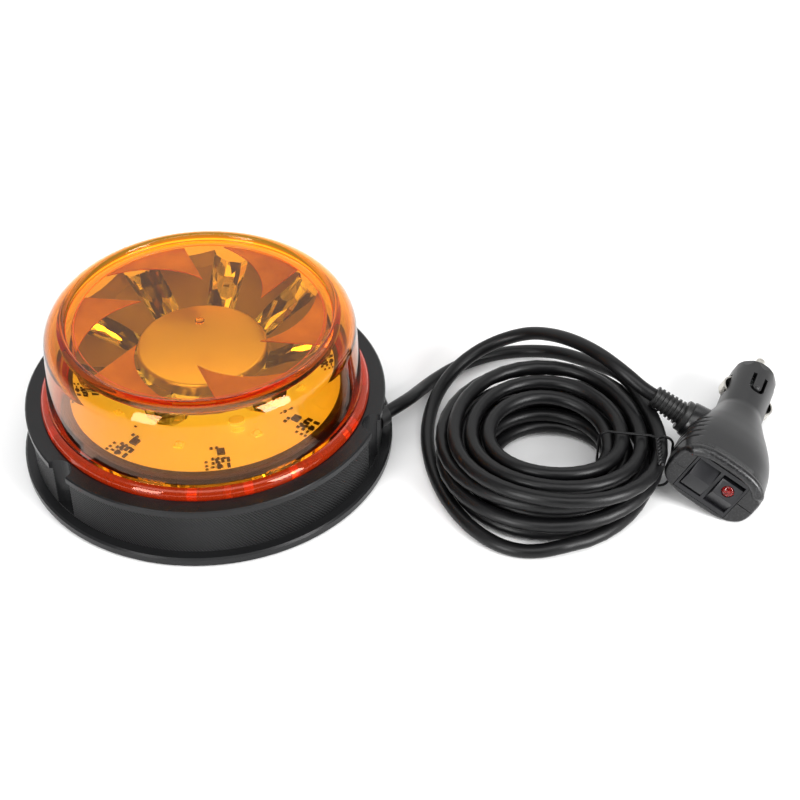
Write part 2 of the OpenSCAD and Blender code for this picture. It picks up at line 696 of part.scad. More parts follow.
// The lens's outline: foot, bead, wall, shoulder arc, recessed top, and the same inwards by the wall
bead_round = bead_h / 2;
shoulder_z = lens_top - shoulder_round;
shoulder_mid = shoulder_r - shoulder_round;
inner_round = shoulder_round - lens_wall;
function arc(x, z, r, from, to, steps) = [for (k = [0:steps]) let (a = from + (to - from) * k / steps)
    [x + r * cos(a), z + r * sin(a)]];
crest_a = acos((recess_r - shoulder_mid) / shoulder_round);
crest_in_r = recess_r + lens_wall;
inner_a = acos((crest_in_r - shoulder_mid) / inner_round);
lens_outline = concat([[foot_in_r, lens_seat]],
    arc(bead_r - bead_round, lens_seat + bead_round, bead_round, -90, 90, 10), [[skirt_r, foot_top]],
    arc(shoulder_mid, shoulder_z, shoulder_round, 0, crest_a, 12),
    [[recess_r, top_z], [0, top_z], [0, top_in_z], [crest_in_r, top_in_z]],
    arc(shoulder_mid, shoulder_z, inner_round, inner_a, 0, 8),
    [[skirt_r - lens_wall, foot_top - lens_wall], [foot_in_r, foot_top - lens_wall]]);

// A blade: a straight edge from its tip out, a stretch of the outer circle, and a spiral back to the tip
blade_inset = 2.6;
blade_out_r = recess_r - blade_inset;
function polar(r, a) = [r * cos(a), r * sin(a)];
blade_outline = concat([polar(blade_tip_r, 0)],
    [for (k = [0:8]) polar(blade_out_r, blade_lead + blade_span * k / 8)],
    [for (k = [1:9]) let (s = 1 - k / 10)
        polar(blade_tip_r + (blade_out_r - blade_tip_r) * s, (blade_lead + blade_span) * s)]);

module lens_dome() color("#ff8c00") difference() {
    union() {
        rotate_extrude($fn = 180) polygon(lens_outline);
        for (k = [0:blade_count - 1]) rotate(blade_angle + 360 * k / blade_count)
            translate([0, 0, top_in_z - blade_t]) linear_extrude(blade_t + eps) polygon(blade_outline);
    }
    ring_of(lens_screw_count, lens_screw_pcr, notch_angle + lens_screw_turn)
        translate([0, 0, lens_seat - 1])
        cylinder(r = fine_screw_r + thread_gap, h = 1 + bead_h - lens_wall - screw_spare);
}

module lens_screws() color("#c8c9cc")
    ring_of(lens_screw_count, lens_screw_pcr, notch_angle + lens_screw_turn)
    translate([0, 0, lens_seat - lens_screw_drop])
        screw(fine_screw_r, fine_head_r, screw_head_h,
            lens_screw_drop + bead_h - lens_wall - 2 * screw_spare);

module cable_grommet() color("#18181a") exit_frame() difference() {
    union() {
        translate([0, 0, -grommet_in]) cylinder(r = grommet_r, h = grommet_in);
        translate([0, 0, run_gap - flange_sink])
            cylinder(r1 = flange_r, r2 = flange_r - flange_taper, h = flange_sink + flange_out - run_gap);
    }
    translate([0, 0, -exit_depth]) cylinder(r = cord_r + cord_gap, h = rim_r);
}

module wire_leads() color("#b3261e") for (side = [-1, 1]) exit_frame()
    translate([0, side * wire_gap / 2, -cord_start - wire_run]) {
        cylinder(r = wire_r, h = wire_run);
        sphere(r = wire_r);
        rotate([0, -90, 0]) cylinder(r = wire_r, h = board_z - exit_z);
    }

module cord_lead() color("#161617") tube(lead_path, cord_r, cord_sides);

module cord_coil() color("#161617") tube(coil_path, cord_r, coil_sides);

module cord_tail() color("#161617") tube(tail_path, cord_r, cord_sides);

module twist_tie() color("#0d0d0e")
    tube(tie_path, tie_d / 2, coil_sides, unit(tie_side + [0.02, 0.01, 0.35]));

// The strain relief, along the plug's left side: inner flange, neck, collar and ribs round a bore
function rib_step(k) = let (x = arm_x + collar_t + k * rib_pitch, r = rib_r - rib_taper * k / rib_count,
        root = relief_root_r - root_taper * k / rib_count)
    [[root, x], [root, x + rib_pitch * 0.4], [r, x + rib_pitch * 0.5], [r, x + rib_pitch * 0.9]];
relief_outline = concat([[cord_r + cord_gap, relief_in_x], [relief_flange_r, relief_in_x],
    [relief_flange_r, relief_in_x + relief_flange_t], [relief_neck_r, relief_in_x + relief_flange_t],
    [relief_neck_r, arm_x + run_gap], [collar_r, arm_x + run_gap],
    [collar_r, arm_x + collar_t - collar_break],
    [collar_r - collar_break, arm_x + collar_t]],
    [for (k = [0:rib_count - 1]) each rib_step(k)],
    [[relief_root_r - root_taper, relief_end_x], [cord_r + cord_gap, relief_end_x]]);

module strain_relief() color("#141415") plug_frame() translate([0, arm_y, 0]) rotate([0, -90, 0])
    rotate_extrude() polygon(relief_outline);

// The plug's body: a loft of rounded sections that ends in the round barrel
function section_ring(s, inset) = [for (k = [0:shell_sides - 1])
    let (a = 360 * (k + 0.5) / shell_sides, e = 2 / s[5], c = cos(a), n = sin(a),
        w = (c >= 0 ? s[2] : s[1]) - inset, h = (n >= 0 ? s[3] : s[4]) - inset)
    [w * sign(c) * pow(abs(c), e), s[0], h * sign(n) * pow(abs(n), e)]];

// The brow: a bead along the face's upper edge
brow_r = 2.3;
brow_in = 1.7;
brow_y = 0.4;
brow_from = 2;
brow_to = 17;
brow_sides = 12;
brow_ring = section_ring(shell_sections[2], brow_in);
brow_path = [for (k = [brow_from:brow_to]) [brow_ring[k].x, brow_y, brow_ring[k].z]];

module plug_solid() {
    tube(brow_path, brow_r, brow_sides, [0, 1, 0]);
    skin([for (s = shell_sections) section_ring(s, 0)]);
    along_y(barrel_r, neck_y - 0.5, barrel_end);
    translate([-arm_root_x, arm_y, 0]) rotate([0, -90, 0])
        cylinder(r1 = arm_root_r, r2 = arm_r, h = arm_x - arm_root_x);
}

module plug_hollow() {
    difference() {
        skin([for (i = [2:7]) section_ring(shell_sections[i], shell_wall)]);
        translate([-50, bulkhead_y, -50]) cube([100, 50, 100]);
        for (y = plug_screw_ys) translate([0, y, -50]) cylinder(r = fine_screw_r + boss_wall, h = 100);
    }
    difference() {
        along_y(barrel_in_r, bulkhead_y + bulkhead_t, barrel_end + 1);
        along_y(sleeve_r, bulkhead_y, sleeve_end);
        translate([-sleeve_web / 2, bulkhead_y, -50]) cube([sleeve_web, sleeve_end - bulkhead_y, 100]);
    }
    along_y(sleeve_in_r, bulkhead_y + bulkhead_t, barrel_end);
    translate([bezel_x - bezel_w / 2 - seat_gap, -1, bezel_z - bezel_h / 2 - seat_gap])
        cube([bezel_w + 2 * seat_gap, pocket_d + 1, bezel_h + 2 * seat_gap]);
    translate([0, arm_y, 0]) rotate([0, -90, 0]) {
        cylinder(r = relief_neck_r + run_gap, h = arm_x + 1);
        translate([0, 0, arm_root_x]) cylinder(r = relief_flange_r + seat_gap,
            h = relief_in_x + relief_flange_t + seat_gap - arm_root_x);
    }
    for (side = [-1, 1]) translate([side * barrel_r, clip_y, 0])
        cube([barrel_r, 2 * (clip_half + move_gap), clip_w + 2 * move_gap], center = true);
    for (y = plug_screw_ys) translate([0, y, 0]) {
        translate([0, 0, -50]) cylinder(r = plug_screw_head_r + seat_gap, h = 50 - plug_screw_l / 2);
        translate([0, 0, -plug_screw_l / 2 - 1])
            cylinder(r = fine_screw_r + thread_gap, h = plug_screw_l + 1);
    }
    tab_cut();
}

// The U-shaped slot round the tongue on the barrel's top
module tab_outline(w) {
    translate([0, tab_y - tab_l / 2 + tab_w / 2]) circle(d = w);
    translate([-w / 2, tab_y - tab_l / 2 + tab_w / 2]) square([w, tab_l - tab_w / 2]);
}

module tab_cut() {
    translate([0, 0, barrel_in_r - 1]) linear_extrude(shell_wall + 2) difference() {
        tab_outline(tab_w + 2 * tab_slot);
        tab_outline(tab_w);
    }
}

module plug_half(up) {
    difference() {
        plug_solid();
        plug_hollow();
        translate([-100, -100, up ? -200 : 0]) cube(200);
    }
}

module plug_upper_shell() color("#3a3a3d") plug_frame() plug_half(true);

module plug_lower_shell() color("#3a3a3d") plug_frame() plug_half(false);

module plug_screws() color("#8d8f93") plug_frame()
    for (y = plug_screw_ys) translate([0, y, -plug_screw_l / 2])
    screw(fine_screw_r, plug_screw_head_r, plug_screw_head_h, plug_screw_l - 1);

module switch_bezel() color("#333336") switch_frame() difference() {
    translate([-bezel_w / 2, 0, -bezel_h / 2]) cube([bezel_w, bezel_d, bezel_h]);
    for (side = [-1, 1]) translate([side * rocker_pitch / 2 - opening_w / 2, -1, -opening_h / 2])
        cube([opening_w, bezel_d + 2, opening_h]);
    translate([-bezel_w, pivot_y, 0]) rotate([0, 90, 0]) cylinder(r = pivot_r + run_gap, h = 2 * bezel_w);
}

module switch_carrier() color("#2a2a2c") switch_frame() translate([-bezel_w / 2, carrier_y, -bezel_h / 2])
    cube([bezel_w, carrier_t, bezel_h]);

terminal_w = 4.8;
terminal_t = 0.8;
terminal_l = 6;

module switch_terminals() color("#c9a24a") switch_frame() for (x = [-1, 1], z = [-1, 1])
    translate([x * rocker_pitch / 2 - terminal_w / 2, carrier_y + carrier_t,
        z * bezel_h / 4 - terminal_t / 2])
        cube([terminal_w, terminal_l, terminal_t]);

// A rocker, tilted about its pivot: two facets that meet in a ridge
module rocker(side, tilt) {
    translate([side * rocker_pitch / 2, pivot_y, 0]) rotate([tilt, 0, 0]) translate([0, -pivot_y, 0]) {
        rotate([90, 0, 90]) translate([0, 0, -rocker_w / 2]) linear_extrude(rocker_w) polygon([
            [rocker_sink, -rocker_h / 2], [rocker_sink - rocker_ridge, 0], [rocker_sink, rocker_h / 2],
            [rocker_back, rocker_back_h / 2], [rocker_back, -rocker_back_h / 2]]);
        translate([-rocker_w / 2 - pivot_reach, pivot_y, 0]) rotate([0, 90, 0])
            cylinder(r = pivot_r, h = rocker_w + 2 * pivot_reach);
    }
}

module power_rocker() color("#2f2f32") switch_frame() rocker(-1, -rocker_tilt);

module indicator_place() {
    translate([rocker_pitch / 2, pivot_y, 0]) rotate([rocker_tilt, 0, 0])
        translate([0, indicator_y - pivot_y, indicator_z]) rotate([-90 - facet_a, 0, 0])
        translate([0, 0, -indicator_proud]) children();
}

module mode_rocker() color("#2f2f32") switch_frame() difference() {
    rocker(1, rocker_tilt);
    indicator_place() translate([0, 0, -1]) cylinder(r = indicator_r + run_gap, h = indicator_depth + 1);
}

module indicator_lens() color("#d0141c") switch_frame() indicator_place() intersection() {
    cylinder(r = indicator_r, h = indicator_depth - thread_gap);
    translate([0, 0, indicator_ball_r - indicator_out]) sphere(r = indicator_ball_r);
}

// A side clip: a bowed strip whose feet lie behind the barrel's wall
module clip(side) {
    translate([0, 0, -clip_w / 2]) linear_extrude(clip_w) {
        difference() {
            translate([side * (clip_out_x - clip_round), clip_y]) circle(r = clip_round);
            translate([side * (clip_out_x - clip_round), clip_y]) circle(r = clip_round - clip_t);
            translate([side * (clip_seat - clip_t) - (side > 0 ? 50 : 0), clip_y - 25]) square(50);
        }
        for (end = [-1, 1])
            translate([side * (clip_seat - clip_t / 2), clip_y + end * (clip_half + clip_foot / 2)])
                square([clip_t, clip_foot + clip_t], center = true);
    }
}

module left_clip() color("#c3c0b4") plug_frame() clip(-1);

module right_clip() color("#c3c0b4") plug_frame() clip(1);

module nose_cap() color("#38383b")
plug_frame() translate([0, barrel_end, 0]) rotate([-90, 0, 0]) difference() {
    union() {
        translate([0, 0, -cap_neck]) cylinder(r = barrel_in_r - run_gap, h = cap_neck + seat_gap + 1);
        translate([0, 0, seat_gap]) cylinder(r = cap_r, h = nose_l - cap_break);
        translate([0, 0, seat_gap + nose_l - cap_break])
            cylinder(r1 = cap_r, r2 = cap_r - cap_break, h = cap_break);
    }
    translate([0, 0, -cap_neck - 1])
        cylinder(r = barrel_in_r - cap_neck_wall, h = cap_neck + seat_gap + nose_l - cap_wall + 1);
    cylinder(r = tip_r + run_gap, h = 2 * nose_l);
}

module tip_contact() color("#d5d2c6") plug_frame() {
    along_y(tip_flange_r, tip_back, tip_back + tip_flange_t);
    along_y(tip_r, tip_back + tip_flange_t - eps, cap_end + tip_step);
    along_y(tip_point_r, cap_end + tip_step - eps, cap_end + tip_step + tip_point - tip_round);
    translate([0, cap_end + tip_step + tip_point - tip_round - eps, 0]) rotate([-90, 0, 0])
        cylinder(r1 = tip_point_r, r2 = tip_point_r - tip_round, h = tip_round);
}

module fuse() color("#cfd6d8") plug_frame() along_y(fuse_r, fuse_y, tip_back);

spring_r = fuse_r - spring_wire_r;
spring_from = bulkhead_y + bulkhead_t + spring_wire_r;
spring_to = fuse_y - spring_wire_r;
spring_path = [for (k = [0:spring_turns * 8]) let (a = 45 * k, s = k / (spring_turns * 8))
    [spring_r * cos(a), spring_from + (spring_to - spring_from) * s, spring_r * sin(a)]];

module tip_spring() color("#aeb1b5") plug_frame() tube(spring_path, spring_wire_r, coil_sides, [0, 1, 0]);

rubber_pad();
ring_magnet();
pole_plate();
magnet_screws();
base_shell();
chassis_plate();
circuit_board();
led_emitters();
driver_chips();
board_screws();
reflector();
reflector_screws();
lens_seal();
lens_dome();
lens_screws();
cable_grommet();
wire_leads();
cord_lead();
cord_coil();
cord_tail();
twist_tie();
strain_relief();
plug_upper_shell();
plug_lower_shell();
plug_screws();
switch_bezel();
switch_carrier();
switch_terminals();
power_rocker();
mode_rocker();
indicator_lens();
left_clip();
right_clip();
nose_cap();
tip_contact();
tip_spring();
fuse();
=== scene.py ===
import math
import bmesh
import bpy
from mathutils import Matrix, Vector


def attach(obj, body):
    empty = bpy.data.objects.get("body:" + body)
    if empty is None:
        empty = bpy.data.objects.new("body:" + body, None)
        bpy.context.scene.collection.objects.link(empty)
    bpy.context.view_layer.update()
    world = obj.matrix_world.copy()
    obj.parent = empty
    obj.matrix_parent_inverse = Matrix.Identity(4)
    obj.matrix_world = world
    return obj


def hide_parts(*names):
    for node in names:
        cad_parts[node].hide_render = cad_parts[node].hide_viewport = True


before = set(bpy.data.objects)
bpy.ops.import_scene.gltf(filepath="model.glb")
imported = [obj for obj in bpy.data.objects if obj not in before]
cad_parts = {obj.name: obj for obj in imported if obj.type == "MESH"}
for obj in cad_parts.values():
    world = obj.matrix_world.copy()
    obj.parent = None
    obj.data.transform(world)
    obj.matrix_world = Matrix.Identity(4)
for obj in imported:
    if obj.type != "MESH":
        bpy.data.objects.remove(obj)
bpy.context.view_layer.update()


# The camera stands in front of the beacon with a long lens and looks down on it at about forty degrees,
# as in the photograph.
camera_at = (0.0834, -0.5741, 0.5129)
camera_tilt = math.radians(49.44)
bpy.ops.object.select_all(action="DESELECT")
bpy.ops.object.camera_add(location=camera_at, rotation=(camera_tilt, 0, 0))
camera = bpy.context.object
camera.name = "camera"
camera.data.lens = 78.57
camera.data.sensor_width = 36
camera.data.clip_start = 0.01
bpy.context.scene.camera = camera


# The stage is a plain white table in a white light tent, brightest high in front and behind the beacon
# and dark round the camera. Soft boxes in front, at each side and behind give the highlights.
class Socket:
    """An output in a material's tree. Arithmetic on it adds Math nodes."""

    def __init__(self, tree, end):
        self.tree = tree
        self.end = end

    def node(self, kind, inputs=None, out=0, **settings):
        """Adds a node with its settings and its sockets' values or links, and gives one output."""
        made = self.tree.nodes.new("ShaderNode" + kind)
        for name, value in settings.items():
            setattr(made, name, value)
        for name, value in (inputs or {}).items():
            if isinstance(value, Socket):
                self.tree.links.new(value.end, made.inputs[name])
            else:
                made.inputs[name].default_value = value
        return Socket(self.tree, made.outputs[out])

    def math(self, operation, *values):
        return self.node("Math", dict(enumerate(values)), operation=operation)

    def __add__(self, other):
        return self.math("ADD", self, other)

    def __sub__(self, other):
        return self.math("SUBTRACT", self, other)

    def __rsub__(self, other):
        return self.math("SUBTRACT", other, self)

    def __mul__(self, other):
        return self.math("MULTIPLY", self, other)

    def __gt__(self, other):
        return self.math("GREATER_THAN", self, other)

    def __lt__(self, other):
        return self.math("LESS_THAN", self, other)

    __radd__ = __add__
    __rmul__ = __mul__

    def noise(self, scale, detail=3):
        return self.node("TexNoise", {"Vector": self, "Scale": scale, "Detail": detail})

    def between(self, low, high):
        return self.node("MapRange", {"Value": self, "From Min": low, "From Max": high},
                         interpolation_type="SMOOTHSTEP")

    def mix(self, dark, light):
        ends = [c if isinstance(c, Socket) else (*c, 1) for c in (dark, light)]
        return self.node("Mix", {0: self, 6: ends[0], 7: ends[1]}, out=2, data_type="RGBA")

    def axes(self):
        parts = self.node("SeparateXYZ", {0: self}).end.node
        return [Socket(self.tree, end) for end in parts.outputs]

    def along(self, line, start):
        reach = self.node("VectorMath", {0: self, 1: line}, out="Value", operation="DOT_PRODUCT")
        return reach - line.dot(start)

    def bump(self, height, strength):
        return self.node("Bump", {"Height": self, "Strength": strength, "Distance": height})


def shader_input(made, word):
    label = word.replace("_", " ").title().replace("Ior", "IOR")
    return made.node_tree.nodes["Principled BSDF"].inputs[label]


def new_finish(name, **sockets):
    """A material, with what is the same all over it, and the place on its surface."""
    made = bpy.data.materials.new(name)
    made.use_nodes = True
    for word, value in sockets.items():
        shader_input(made, word).default_value = (*value, 1) if isinstance(value, tuple) else value
    place = Socket(made.node_tree, made.node_tree.nodes.new("ShaderNodeTexCoord").outputs["Object"])
    return made, place


def feed(made, **sockets):
    """Links what changes over the surface to the material's shader."""
    for word, value in sockets.items():
        made.node_tree.links.new(value.end, shader_input(made, word))


table_wide = 8
bpy.ops.object.select_all(action="DESELECT")
bpy.ops.mesh.primitive_plane_add(size=table_wide)
table = bpy.context.object
table.name = "table"
table_white, place = new_finish("table_white", roughness=0.9, emission_color=(1, 1, 1),
                                emission_strength=0.05)
grain = place.noise(30)
feed(table_white, base_color=grain.mix((0.86, 0.86, 0.86), (0.88, 0.88, 0.88)))
table.data.materials.append(table_white)

world = bpy.data.worlds.new("light_tent")
bpy.context.scene.world = world
world.use_nodes = True
sky = Socket(world.node_tree, world.node_tree.nodes.new("ShaderNodeTexCoord").outputs["Generated"])
x, y, z = sky.axes()
behind = y.between(0.1, 0.6) * (1 - z.between(0.72, 0.95))
overhead = z.between(0.68, 0.76) * (1 - y.between(-0.32, -0.2))
camera_side = (1 - y.between(-0.45, -0.05)) * (1 - z.between(0.55, 0.7))
glow = 0.36 + 0.55 * behind + 2 * overhead - 0.24 * camera_side - 0.2 * z.between(0.86, 0.95)
tent = world.node_tree.nodes["Background"]
tent.inputs["Color"].default_value = (1, 1, 1, 1)
world.node_tree.links.new(glow.end, tent.inputs["Strength"])

for name, spot, aim, wide, deep, power in (
    ("soft_box_high", (0.1, -0.65, 1.5), (0.1, 0, 0), 2.2, 0.8, 8),
    ("soft_box_back", (0.1, 0.8, 1.3), (0.1, 0.1, 0), 1.6, 0.5, 4),
    ("soft_box_left", (-0.72, -1.08, 0.42), (0, 0, 0.03), 0.4, 0.84, 14),
    ("soft_box_right", (1.1, -0.8, 0.5), (0.1, 0, 0.03), 0.5, 0.8, 25),
):
    bpy.ops.object.light_add(type="AREA", location=spot)
    lamp = bpy.context.object
    lamp.name = name
    lamp.data.shape = "RECTANGLE"
    lamp.data.size = wide
    lamp.data.size_y = deep
    lamp.data.energy = power
    lamp.rotation_euler = (Vector(aim) - Vector(spot)).to_track_quat("-Z", "Y").to_euler()

bpy.context.scene.view_settings.view_transform = "Standard"


# The rubber pad covers the base's underside, and the lens's seal is cut from the same rubber. Behind the pad
# lie the ring magnet and its steel pole plate, held by three zinc-plated screws.
mm = 0.001


def dress(finish, *nodes):
    for n in nodes:
        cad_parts[n].material_slots[0].material = finish


def grained(name, scale, detail, dark, light, rough=None, **sockets):
    """A finish whose colour follows a noise, and whose roughness does if its low and its span are given."""
    made, place = new_finish(name, **sockets)
    grain = place.noise(scale, detail)
    feed(made, base_color=grain.mix(dark, light))
    if rough:
        low, span = rough
        feed(made, roughness=low + span * grain)
    return made


pad_black, place = new_finish("pad_black", roughness=0.8)
dust = place.noise(60, 4)
crumb = place.noise(900, 2)
feed(pad_black, base_color=dust.mix((0.008, 0.008, 0.008), (0.02, 0.02, 0.019)),
     normal=crumb.bump(0.0002, 0.4))
dress(pad_black, "rubber_pad", "lens_seal")

magnet_grey = grained("magnet_grey", 500, 4, (0.03, 0.03, 0.032), (0.07, 0.07, 0.072),
                      roughness=0.6, metallic=0.4)
dress(magnet_grey, "ring_magnet")

zinc = grained("zinc", 260, 3, (0.5, 0.51, 0.53), (0.72, 0.72, 0.72), rough=(0.28, 0.2), metallic=1.0)
dress(zinc, "pole_plate", "magnet_screws", "reflector_screws", "lens_screws", "plug_screws")


# The base is one moulding of black plastic: a rim, a wall with a fine slanted hatch, a smooth deck
# that overhangs the wall a little, and three half-round notches through both.
wall_r, wall_band = 75.6, 0.3
wall_low, wall_high = 5.3, 24.3
hatch_pitch, hatch_slant, hatch_slope = 1.4, 0.85, 0.65


def off_axis(x, y):
    return x.math("SQRT", x * x + y * y)


base_black, place = new_finish("base_black", specular_ior_level=0.24)
x, y, z = place.axes()
across = off_axis(x, y)
round_wall = x.math("ARCTAN2", y, x) * (wall_r * mm)
phase = (round_wall + hatch_slant * z) * (2 * math.pi / (hatch_pitch * mm))
hatch_shade = x.math("SINE", phase)
lean = hatch_slope * x.math("COSINE", phase)
out_x = x.math("DIVIDE", x, across)
out_y = x.math("DIVIDE", y, across)
wall_normal = x.node("CombineXYZ", {0: out_x + lean * out_y, 1: out_y - lean * out_x, 2: lean * -hatch_slant})
wall_normal = x.node("VectorMath", {0: wall_normal}, operation="NORMALIZE")
on_wall = (across > (wall_r - wall_band) * mm) * (across < (wall_r + wall_band) * mm)
on_wall = on_wall * (z > wall_low * mm) * (z < wall_high * mm)
mottle = place.noise(45, 4)
grain = place.noise(2200, 2)
plain_normal = x.node("NewGeometry", out="Normal")
smooth_normal = x.node("Mix", {0: on_wall, 4: plain_normal, 5: wall_normal}, out=1, data_type="VECTOR")
# The hatch is also painted into the wall's colour, in lighter and darker stripes along its grooves: painted
# shade and highlight. The mottle is the plastic's own uneven tone.
shade = 0.5 + 0.3 * mottle - on_wall * (0.3 - 0.5 * hatch_shade)
feed(base_black, base_color=shade.mix((0.0015, 0.0015, 0.0017), (0.014, 0.0142, 0.0148)),
     roughness=0.2 + 0.1 * mottle + 0.18 * on_wall,
     normal=x.node("Bump", {"Height": grain, "Strength": 0.3, "Distance": 0.00004, "Normal": smooth_normal}))
dress(base_black, "base_shell")


# The light engine stands in the base: a black chassis and a white circuit board with its lamps,
# their drivers and a few dozen small parts soldered round them.
board_top = 33.5
lamp_count = 8
chassis_black = grained("chassis_black", 150, 3, (0.01, 0.01, 0.01), (0.02, 0.019, 0.018),
                        roughness=0.5, metallic=0.3)
dress(chassis_black, "chassis_plate")

# Beyond this distance from the axis the board is painted dark and does not glow: painted shade that stands
# for the dark band under the lens's foot. Inside it the board is white, with a painted warm glow that stands
# for light trapped in the lens.
dark_ring_r = 57.4
board_white, place = new_finish("board_white", roughness=0.4, emission_strength=0.5)
weave = place.noise(800, 3)
x, y, z = place.axes()
painted_dark_ring = off_axis(x, y) > dark_ring_r * mm
board_colour = painted_dark_ring.mix(weave.mix((0.84, 0.82, 0.76), (0.92, 0.9, 0.85)), (0.02, 0.012, 0.008))
feed(board_white, base_color=board_colour, emission_color=painted_dark_ring.mix((0.95, 0.82, 0.25), (0.02, 0.012, 0.004)))
dress(board_white, "circuit_board")

# The lamps and the board's screws are cream, with a painted glow that stands for light trapped in the lens.
lamp_cream, place = new_finish("lamp_cream", roughness=0.2, emission_strength=0.4)
cream = place.noise(900, 2).mix((0.86, 0.76, 0.34), (0.94, 0.86, 0.46))
feed(lamp_cream, base_color=cream, emission_color=cream)
dress(lamp_cream, "led_emitters", "board_screws")

chip_black = grained("chip_black", 1500, 2, (0.012, 0.012, 0.012), (0.03, 0.03, 0.03), roughness=0.55)
dress(chip_black, "driver_chips", "switch_carrier")

parts_turn = -math.radians(10)


def small_parts(name, boxes):
    """Boxes on the board at each lamp, each by its distance out, its place sideways and its three sizes."""
    bpy.ops.object.select_all(action="DESELECT")
    bpy.ops.mesh.primitive_cube_add(size=mm)
    made = bpy.context.object
    made.name = name
    bpy.ops.object.mode_set(mode="EDIT")
    bpy.ops.mesh.delete(type="VERT")
    for r, side, wide, deep, tall in boxes:
        spot = Vector((r, side, board_top + tall / 2)) * mm
        bpy.ops.mesh.primitive_cube_add(size=mm, location=spot)
        bpy.ops.transform.resize(value=(wide, deep, tall), center_override=spot)
    bpy.ops.mesh.select_all(action="SELECT")
    bpy.ops.transform.rotate(value=parts_turn, orient_axis="Z", center_override=(0, 0, 0))
    copies = lamp_count - 1
    bpy.ops.mesh.spin(steps=copies, angle=math.radians(360 / lamp_count * copies), center=(0, 0, 0),
                      axis=(0, 0, 1), dupli=True)
    bpy.ops.object.mode_set(mode="OBJECT")
    return made


dark_boxes = [(r, side, 1.3, 0.8, 0.5) for r in (44, 50.6, 53.2) for side in (-1.6, 0.6)]
dark_boxes += [(r, -4.4, 1, 0.7, 0.4) for r in (52, 54.4, 56.4)]
dark_boxes += [(50.8, 3, 0.9, 1.3, 0.5), (55.6, 0.8, 1.5, 2, 0.8), (55.6, -2, 0.8, 1.2, 0.5)]
pad_gap, pad_deep, pad_tall = 0.22, 0.36, 0.25
pads = [(r, side + turn * (deep / 2 + pad_gap), wide, pad_deep, pad_tall)
        for r, side, wide, deep, tall in dark_boxes for turn in (-1, 1)]
dark_parts = small_parts("board_parts", dark_boxes)
dark_parts.data.materials.append(chip_black)
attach(dark_parts, "beacon")

solder = grained("solder", 900, 2, (0.35, 0.3, 0.22), (0.6, 0.56, 0.5), roughness=0.3, metallic=1.0)
tin_parts = small_parts("board_pads", pads)
tin_parts.data.materials.append(solder)
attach(tin_parts, "beacon")


# The reflector is moulded in plastic and chromed: a flat round hub with eight half-round flutes
# that fan out and rise from it, and sloping webs between them.
hub_outline = [(11, board_top), (11, 45), (26.6, 45), (27.6, 46), (27.6, 50.2), (27.2, 51), (26.6, 51.4),
               (26, 51.5), (0, 51.5)]
flute_angle, flute_count = 35, 8
flute_half, flute_flare = 5.9, 0.35
flute_in_r, flute_out_r = 26.4, 55
flute_low, flute_high = 46.5, 60.6
flute_deep, flute_wall = 6, 0.8
flute_bands = ((0, 0), (0.1, 0.02), (0.42, 0.4), (0.8, 0.72), (1, 1))
flute_steps, flute_pleat = 8, 0.55
web_steps, web_sag = 4, 1.6


def lathe(name, outline, steps):
    """Spins an outline of distances from the axis and heights, in millimetres, round the Z axis."""
    bpy.ops.object.select_all(action="DESELECT")
    bpy.ops.mesh.primitive_plane_add(size=mm)
    made = bpy.context.object
    made.name = name
    bpy.ops.object.mode_set(mode="EDIT")
    bpy.ops.mesh.merge(type="CENTER")
    bpy.ops.transform.translate(value=(outline[0][0] * mm, 0, outline[0][1] * mm))
    for (r0, z0), (r1, z1) in zip(outline, outline[1:]):
        step = ((r1 - r0) * mm, 0, (z1 - z0) * mm)
        bpy.ops.mesh.extrude_region_move(TRANSFORM_OT_translate={"value": step})
    bpy.ops.mesh.select_all(action="SELECT")
    bpy.ops.mesh.spin(steps=steps, angle=2 * math.pi, center=(0, 0, 0), axis=(0, 0, 1))
    bpy.ops.mesh.select_all(action="SELECT")
    bpy.ops.mesh.remove_doubles(threshold=0.000001)
    bpy.ops.mesh.normals_make_consistent(inside=False)
    bpy.ops.object.mode_set(mode="OBJECT")
    bpy.ops.object.shade_smooth_by_angle(angle=math.radians(35))
    return made


hub = lathe("reflector_hub", hub_outline, steps=96)
satin_chrome = grained("satin_chrome", 120, 3, (0.84, 0.84, 0.84), (0.9, 0.9, 0.9), rough=(0.28, 0.08),
                       metallic=1.0)
hub.data.materials.append(satin_chrome)
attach(hub, "beacon")
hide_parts("reflector")


def flute_point(k, u, s, rise, drop):
    r = flute_in_r + (flute_out_r - flute_in_r) * s
    a = math.radians(flute_angle + 360 / flute_count * k) + math.asin(u / r)
    level = flute_low + (flute_high - flute_low) * rise
    return Vector((r * math.cos(a), r * math.sin(a), level - drop)) * mm


def flute_row(s, rise):
    row = []
    half = flute_half * (1 + flute_flare * s)
    for k in range(flute_count):
        for j in range(flute_steps + 1):
            share = -math.cos(math.pi * j / flute_steps)
            drop = flute_deep * math.sqrt(1 - share * share) + flute_pleat * s * (j % 2)
            row.append(flute_point(k, half * share, s, rise, drop))
        edge = flute_point(k, half, s, rise, 0)
        far = flute_point(k + 1, -half, s, rise, 0)
        sag = web_sag * s
        for j in range(1, web_steps):
            middle = edge.lerp(far, j / web_steps)
            row.append(middle - Vector((0, 0, sag * mm * math.sin(math.pi * j / web_steps))))
    return row


